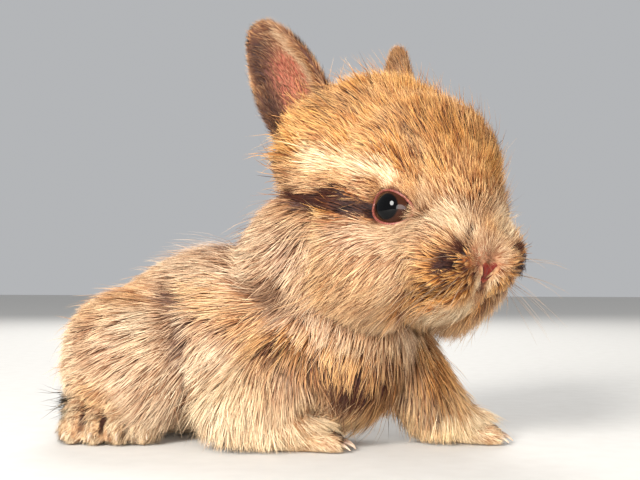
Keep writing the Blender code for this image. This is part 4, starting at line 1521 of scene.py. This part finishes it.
def nose_pad(name):
    """The sheet of the nose, and how deep it is cut and how near its edge is at each point."""
    backwards = Vector(from_head((-1, 0, 0))) - Vector(from_head((0, 0, 0)))
    points, form = [], []
    for i in range(NOSE_ROWS + 1):
        v = i / NOSE_ROWS
        height = NOSE_LOW + (NOSE_TOP - NOSE_LOW) * v
        half = nose_half_width(v)
        for j in range(NOSE_COLUMNS + 1):
            w = 2 * j / NOSE_COLUMNS - 1
            left = half * w
            slit = float(away_from_path(np.array([[0, abs(left), height]]), SLIT)[0])
            dent = math.exp(-((slit / SLIT_HALF) ** 2))
            edge = min(1.0, 3.0 * min(1 - abs(w), v, 1 - v))
            dome = NOSE_RISE * math.sin(math.pi / 2 * edge) - NOSE_SINK
            split = SPLIT_DEPTH * math.exp(-((left / SPLIT_HALF) ** 2)) * (1 - float(smooth(0.4, 0.9, v)))
            hit = skin_tree.ray_cast(Vector(from_head((IN_FRONT, left, height))), backwards)[0]
            stand = head_way(np.array((1, 0, 0)) * (dome - SLIT_DEPTH * dent - split))
            points.append(np.array(hit) + stand)
            form.append((dent, edge, 0, 1))
    faces = []
    for i in range(NOSE_ROWS):
        for j in range(NOSE_COLUMNS):
            a = i * (NOSE_COLUMNS + 1) + j
            above = a + NOSE_COLUMNS + 1
            faces += [(a, a + 1, above + 1), (a, above + 1, above)]
    mesh = array_mesh(name, np.array(points), np.array(faces))
    keep(mesh, "form", "FLOAT_COLOR", form)
    return finished(name, mesh)


nose_finish = Finish("moist_nose")
nose_dent, nose_edge = nose_finish.part("form", 0), nose_finish.part("form", 1)
pebble = nose_finish.node("ShaderNodeTexVoronoi", None, {"Vector": nose_finish.place(), "Scale": 3200.0})
dark_red, red = nose_finish.colour(84, 16, 8), nose_finish.colour(128, 36, 20)
nose_hue = nose_finish.mix(nose_finish.cloud(1500.0), dark_red, red)
nose_hue = nose_finish.mix(nose_dent.between(0.15, 0.8), nose_hue, nose_finish.colour(52, 8, 8))
nose_hue = nose_finish.mix(nose_edge.between(0.0, 0.7), nose_finish.colour(150, 84, 60), nose_hue)
nose_bump = nose_finish.bump(pebble, 0.35, 0.00015)
nose_finish.set(Base_Color=nose_hue, Roughness=0.4, Specular_IOR_Level=0.3, Normal=nose_bump)
nose = nose_pad("nose_leather")
nose.data.materials.append(nose_finish.material)
print("the nose is", 2 * NOSE_HALF, "mm wide and", round(NOSE_TOP - NOSE_LOW, 1), "mm tall")

# %% [markdown]
# Whiskers, brow hairs, lashes and claws are all one thing to a modeller: a tapered horn that grows
# from a point along a line and bows under its weight. So one Geometry Nodes tree makes all of them.
# It takes lines as guides, bends them, gives them a thickness that runs out to the tip, and skins them.

# %% Build one tree for everything that tapers
BRISTLE_POINTS = 14
BRISTLE_SIDES = 7
WANDER_SCALE = 90.0
bristle_tree = bpy.data.node_groups.new("bristles", "GeometryNodeTree")
BRISTLE_INPUTS = {
    "Guides": "NodeSocketGeometry",
    "Root Radius": "NodeSocketFloat",
    "Tip Radius": "NodeSocketFloat",
    "Sag": "NodeSocketFloat",
    "Waver": "NodeSocketFloat",
    "Seed": "NodeSocketFloat",
    "Material": "NodeSocketMaterial",
}
for word, kind in BRISTLE_INPUTS.items():
    bristle_tree.interface.new_socket(name=word, in_out="INPUT", socket_type=kind)
bristle_tree.interface.new_socket(name="Bristles", in_out="OUTPUT", socket_type="NodeSocketGeometry")
given = bristle_tree.nodes.new("NodeGroupInput").outputs


def step(kind, inputs=None, out=0, **settings):
    """One node of the tree, with its settings and inputs; returns one of its outputs."""
    node = bristle_tree.nodes.new(kind)
    for key, value in settings.items():
        setattr(node, key, value)
    for key, value in (inputs or {}).items():
        if isinstance(value, bpy.types.NodeSocket):
            bristle_tree.links.new(value, node.inputs[key])
        else:
            node.inputs[key].default_value = value
    return node.outputs[out]


def times(first, second):
    """The product of two numbers of the tree."""
    return step("ShaderNodeMath", {0: first, 1: second}, operation="MULTIPLY")


line = step("GeometryNodeMeshToCurve", {"Mesh": given["Guides"]})
line = step("GeometryNodeResampleCurve", {"Curve": line, "Count": BRISTLE_POINTS})
reach = step("GeometryNodeSplineParameter")
drop = times(times(times(reach, reach), given["Sag"]), -1.0)
noise_inputs = {"W": given["Seed"], "Scale": WANDER_SCALE}
noise = step("ShaderNodeTexNoise", noise_inputs, out=1, noise_dimensions="4D")
centred = step("ShaderNodeVectorMath", {0: noise, 1: (0.5, 0.5, 0.5)}, operation="SUBTRACT")
stray_inputs = {0: centred, "Scale": times(reach, given["Waver"])}
wander = step("ShaderNodeVectorMath", stray_inputs, operation="SCALE")
fall = step("ShaderNodeCombineXYZ", {"Z": drop})
bend = step("ShaderNodeVectorMath", {0: wander, 1: fall}, operation="ADD")
line = step("GeometryNodeSetPosition", {"Geometry": line, "Offset": bend})
stored = {"Geometry": line, "Name": "along", "Value": reach}
line = step("GeometryNodeStoreNamedAttribute", stored, data_type="FLOAT", domain="POINT")
taper = {"Value": reach, "To Min": given["Root Radius"], "To Max": given["Tip Radius"]}
ring = step("GeometryNodeCurvePrimitiveCircle", {"Resolution": BRISTLE_SIDES, "Radius": 1.0})
thickness = step("ShaderNodeMapRange", taper)
skinned = {"Curve": line, "Profile Curve": ring, "Fill Caps": True, "Scale": thickness}
horn = step("GeometryNodeCurveToMesh", skinned)
horn = step("GeometryNodeSetShadeSmooth", {"Geometry": horn})
horn = step("GeometryNodeRealizeInstances", {"Geometry": horn})
horn = step("GeometryNodeSetMaterial", {"Geometry": horn, "Material": given["Material"]})
result = bristle_tree.nodes.new("NodeGroupOutput")
bristle_tree.links.new(horn, result.inputs[0])
print("the tree of the bristles has", len(bristle_tree.nodes), "nodes")

# %% Grow bristles on guides
def bristles(name, guides, node, **values):
    """Bristles along guides, each of them a list of points in the body's frame."""
    mesh = bpy.data.meshes.new(name)
    points = [tuple(np.array(p) * MM + np.array(SHIFT)) for guide in guides for p in guide]
    starts = np.cumsum([0] + [len(guide) for guide in guides])
    edges = [(a + i, a + i + 1) for a, guide in zip(starts, guides) for i in range(len(guide) - 1)]
    mesh.from_pydata(points, edges, [])
    obj = placed(name, mesh)
    growth = obj.modifiers.new("growth", "NODES")
    growth.node_group = bristle_tree
    for item in bristle_tree.interface.items_tree:
        if item.in_out == "INPUT" and item.name in values:
            growth[item.identifier] = values[item.name]
    grown = plain_mesh(obj)
    obj.modifiers.remove(growth)
    obj.data = grown
    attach(obj, "root")
    print(name, "has", len(guides), "bristles and", len(grown.polygons), "faces")


def on_skin(place):
    """The place on the skin nearest to one of the head's frame, and the normal there."""
    spot, normal = skin_tree.find_nearest(Vector(from_head(place)))[:2]
    return np.array(spot), np.array(normal)


# %% [markdown]
# Whiskers stand in rows on the pads beside the nose, short in front and long behind, and fan out to
# the side. Three stiff hairs stand over each eye as well, and a row of lashes on its upper lid. They
# are thinner than the tufts, so they show as fine lines in front of the coat and against the sky.

# %% Draw guides for whiskers, brow hairs and lashes
# Each row of whiskers has a height on the pad and a rise
WHISKER_ROWS = ((-15.5, 0.16), (-17.5, -0.08), (-19.5, -0.34), (-21.5, -0.62))
WHISKERS_A_ROW = 4
BROW_HAIRS = 3
LASHES = 15
LASH_LENGTH = 1.7
ROOT_DEPTH = 0.4
horn_rng = np.random.default_rng(7)


def whisker_guides():
    """Sideways from the pads, the front ones a little forward, the back ones longer."""
    for side in (-1, 1):
        for height, rise in WHISKER_ROWS:
            for k in range(WHISKERS_A_ROW):
                root = on_skin((28.5 - 1.5 * k, side * (5.0 + 1.4 * k), height - 0.3 * k))[0]
                spread = horn_rng.normal(0, 0.07, 3)
                way = unit(head_way(np.array((0.42 - 0.2 * k, side, rise)) + spread))
                far = 9.5 + 3.4 * k + horn_rng.uniform(-1, 1)
                yield [root - way * ROOT_DEPTH, root + way * far * 0.5, root + way * far]


def brow_guides():
    """Up from over each eye."""
    for side in (-1, 1):
        for k in range(BROW_HAIRS):
            root, normal = on_skin((11.5 + 1.6 * k, side * 14.0, 4.2))
            way = unit(normal * 0.5 + head_way((0.2 * (k - 1), side * 0.2, 1.0)))
            yield [root - way * ROOT_DEPTH, root + way * 4.5, root + way * (9.0 + k)]


def lash_guides():
    """Outward from the upper lid, from corner to corner."""
    for side in (-1, 1):
        look, front, above = eye_axes(side)
        for turn in np.radians(np.linspace(28, 156, LASHES)):
            angle = lid_angle(math.cos(turn), math.sin(turn))
            off = front * math.cos(turn) + above * math.sin(turn)
            out = look * math.cos(angle) + off * math.sin(angle)
            root = np.array(eye_middle(side)) + out * (EYE_RADIUS + 0.2)
            way = unit(look * 0.9 + off * 0.9)
            far = LASH_LENGTH + horn_rng.uniform(-0.3, 0.3)
            yield [root, root + way * far * 0.5, root + way * far + above * 0.35]


# %% Grow whiskers, brow hairs and lashes
def horn_finish(name, root, tip, rough):
    """Horn that pales from its root to its tip."""
    finish = Finish(name)
    darker = [c * 0.8 for c in root]
    tint = finish.mix(finish.cloud(1200.0), finish.colour(*root), finish.colour(*darker))
    hue = finish.mix(finish.attribute("along", 2).between(0.0, 0.7), tint, finish.colour(*tip))
    return finish.set(Base_Color=hue, Roughness=rough)


whisker_horn = horn_finish("whisker_horn", (84, 60, 44), (178, 150, 122), 0.45)
lash_horn = horn_finish("lash_horn", (52, 26, 16), (110, 68, 44), 0.45)
whisker_sizes = {"Root Radius": 0.045 * MM, "Tip Radius": 0.012 * MM}
hang_down = {"Sag": 3.6 * MM, "Waver": 1.6 * MM, "Seed": 3.0}
bristles("whiskers", list(whisker_guides()), "head", **whisker_sizes, **hang_down, Material=whisker_horn)
stand_up = {"Sag": 0.8 * MM, "Waver": 1.2 * MM, "Seed": 5.0}
bristles("brow_hairs", list(brow_guides()), "head", **whisker_sizes, **stand_up, Material=whisker_horn)
lash_sizes = {"Root Radius": 0.06 * MM, "Tip Radius": 0.015 * MM, "Sag": 0.0, "Waver": 0.2 * MM, "Seed": 1.0}
bristles("lashes", list(lash_guides()), "head", **lash_sizes, Material=lash_horn)

# %% [markdown]
# Each is a guide that leaves the end of a toe, and the tree's sag bends it towards the ground.

# %% Set the claws
CLAW_LENGTH = 2.6
CLAW_ROOT = 0.7
CLAW_DROP = 0.2


def claw_guides():
    """Level and outward from the end of each toe."""
    for name in TOES:
        for start, _, end, radius in toe_bones(name):
            way = np.array((end - start).to_tuple())
            way[2] = 0
            way = unit(way)
            root = np.array(end) + way * radius * CLAW_ROOT + np.array((0, 0, -CLAW_DROP))
            yield [root, root + way * CLAW_LENGTH * 0.5, root + way * CLAW_LENGTH]


claw_horn = horn_finish("claw_horn", (132, 96, 78), (206, 180, 156), 0.35)
claw_sizes = {"Root Radius": 0.62 * MM, "Tip Radius": 0.1 * MM, "Sag": 1.3 * MM, "Waver": 0.0, "Seed": 1.0}
bristles("claws", list(claw_guides()), "foreleg", **claw_sizes, Material=claw_horn)

# %% [markdown]
# The dressed rabbit must stay the size of its solids, apart from a little fur that may stand proud. So
# both boxes are written down here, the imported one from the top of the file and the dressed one.

# %% Write the sizes and finish
dressed_box = [[float(c) for c in corner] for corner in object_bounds()]
print("dressed from", np.round(dressed_box[0], 4), "to", np.round(dressed_box[1], 4))
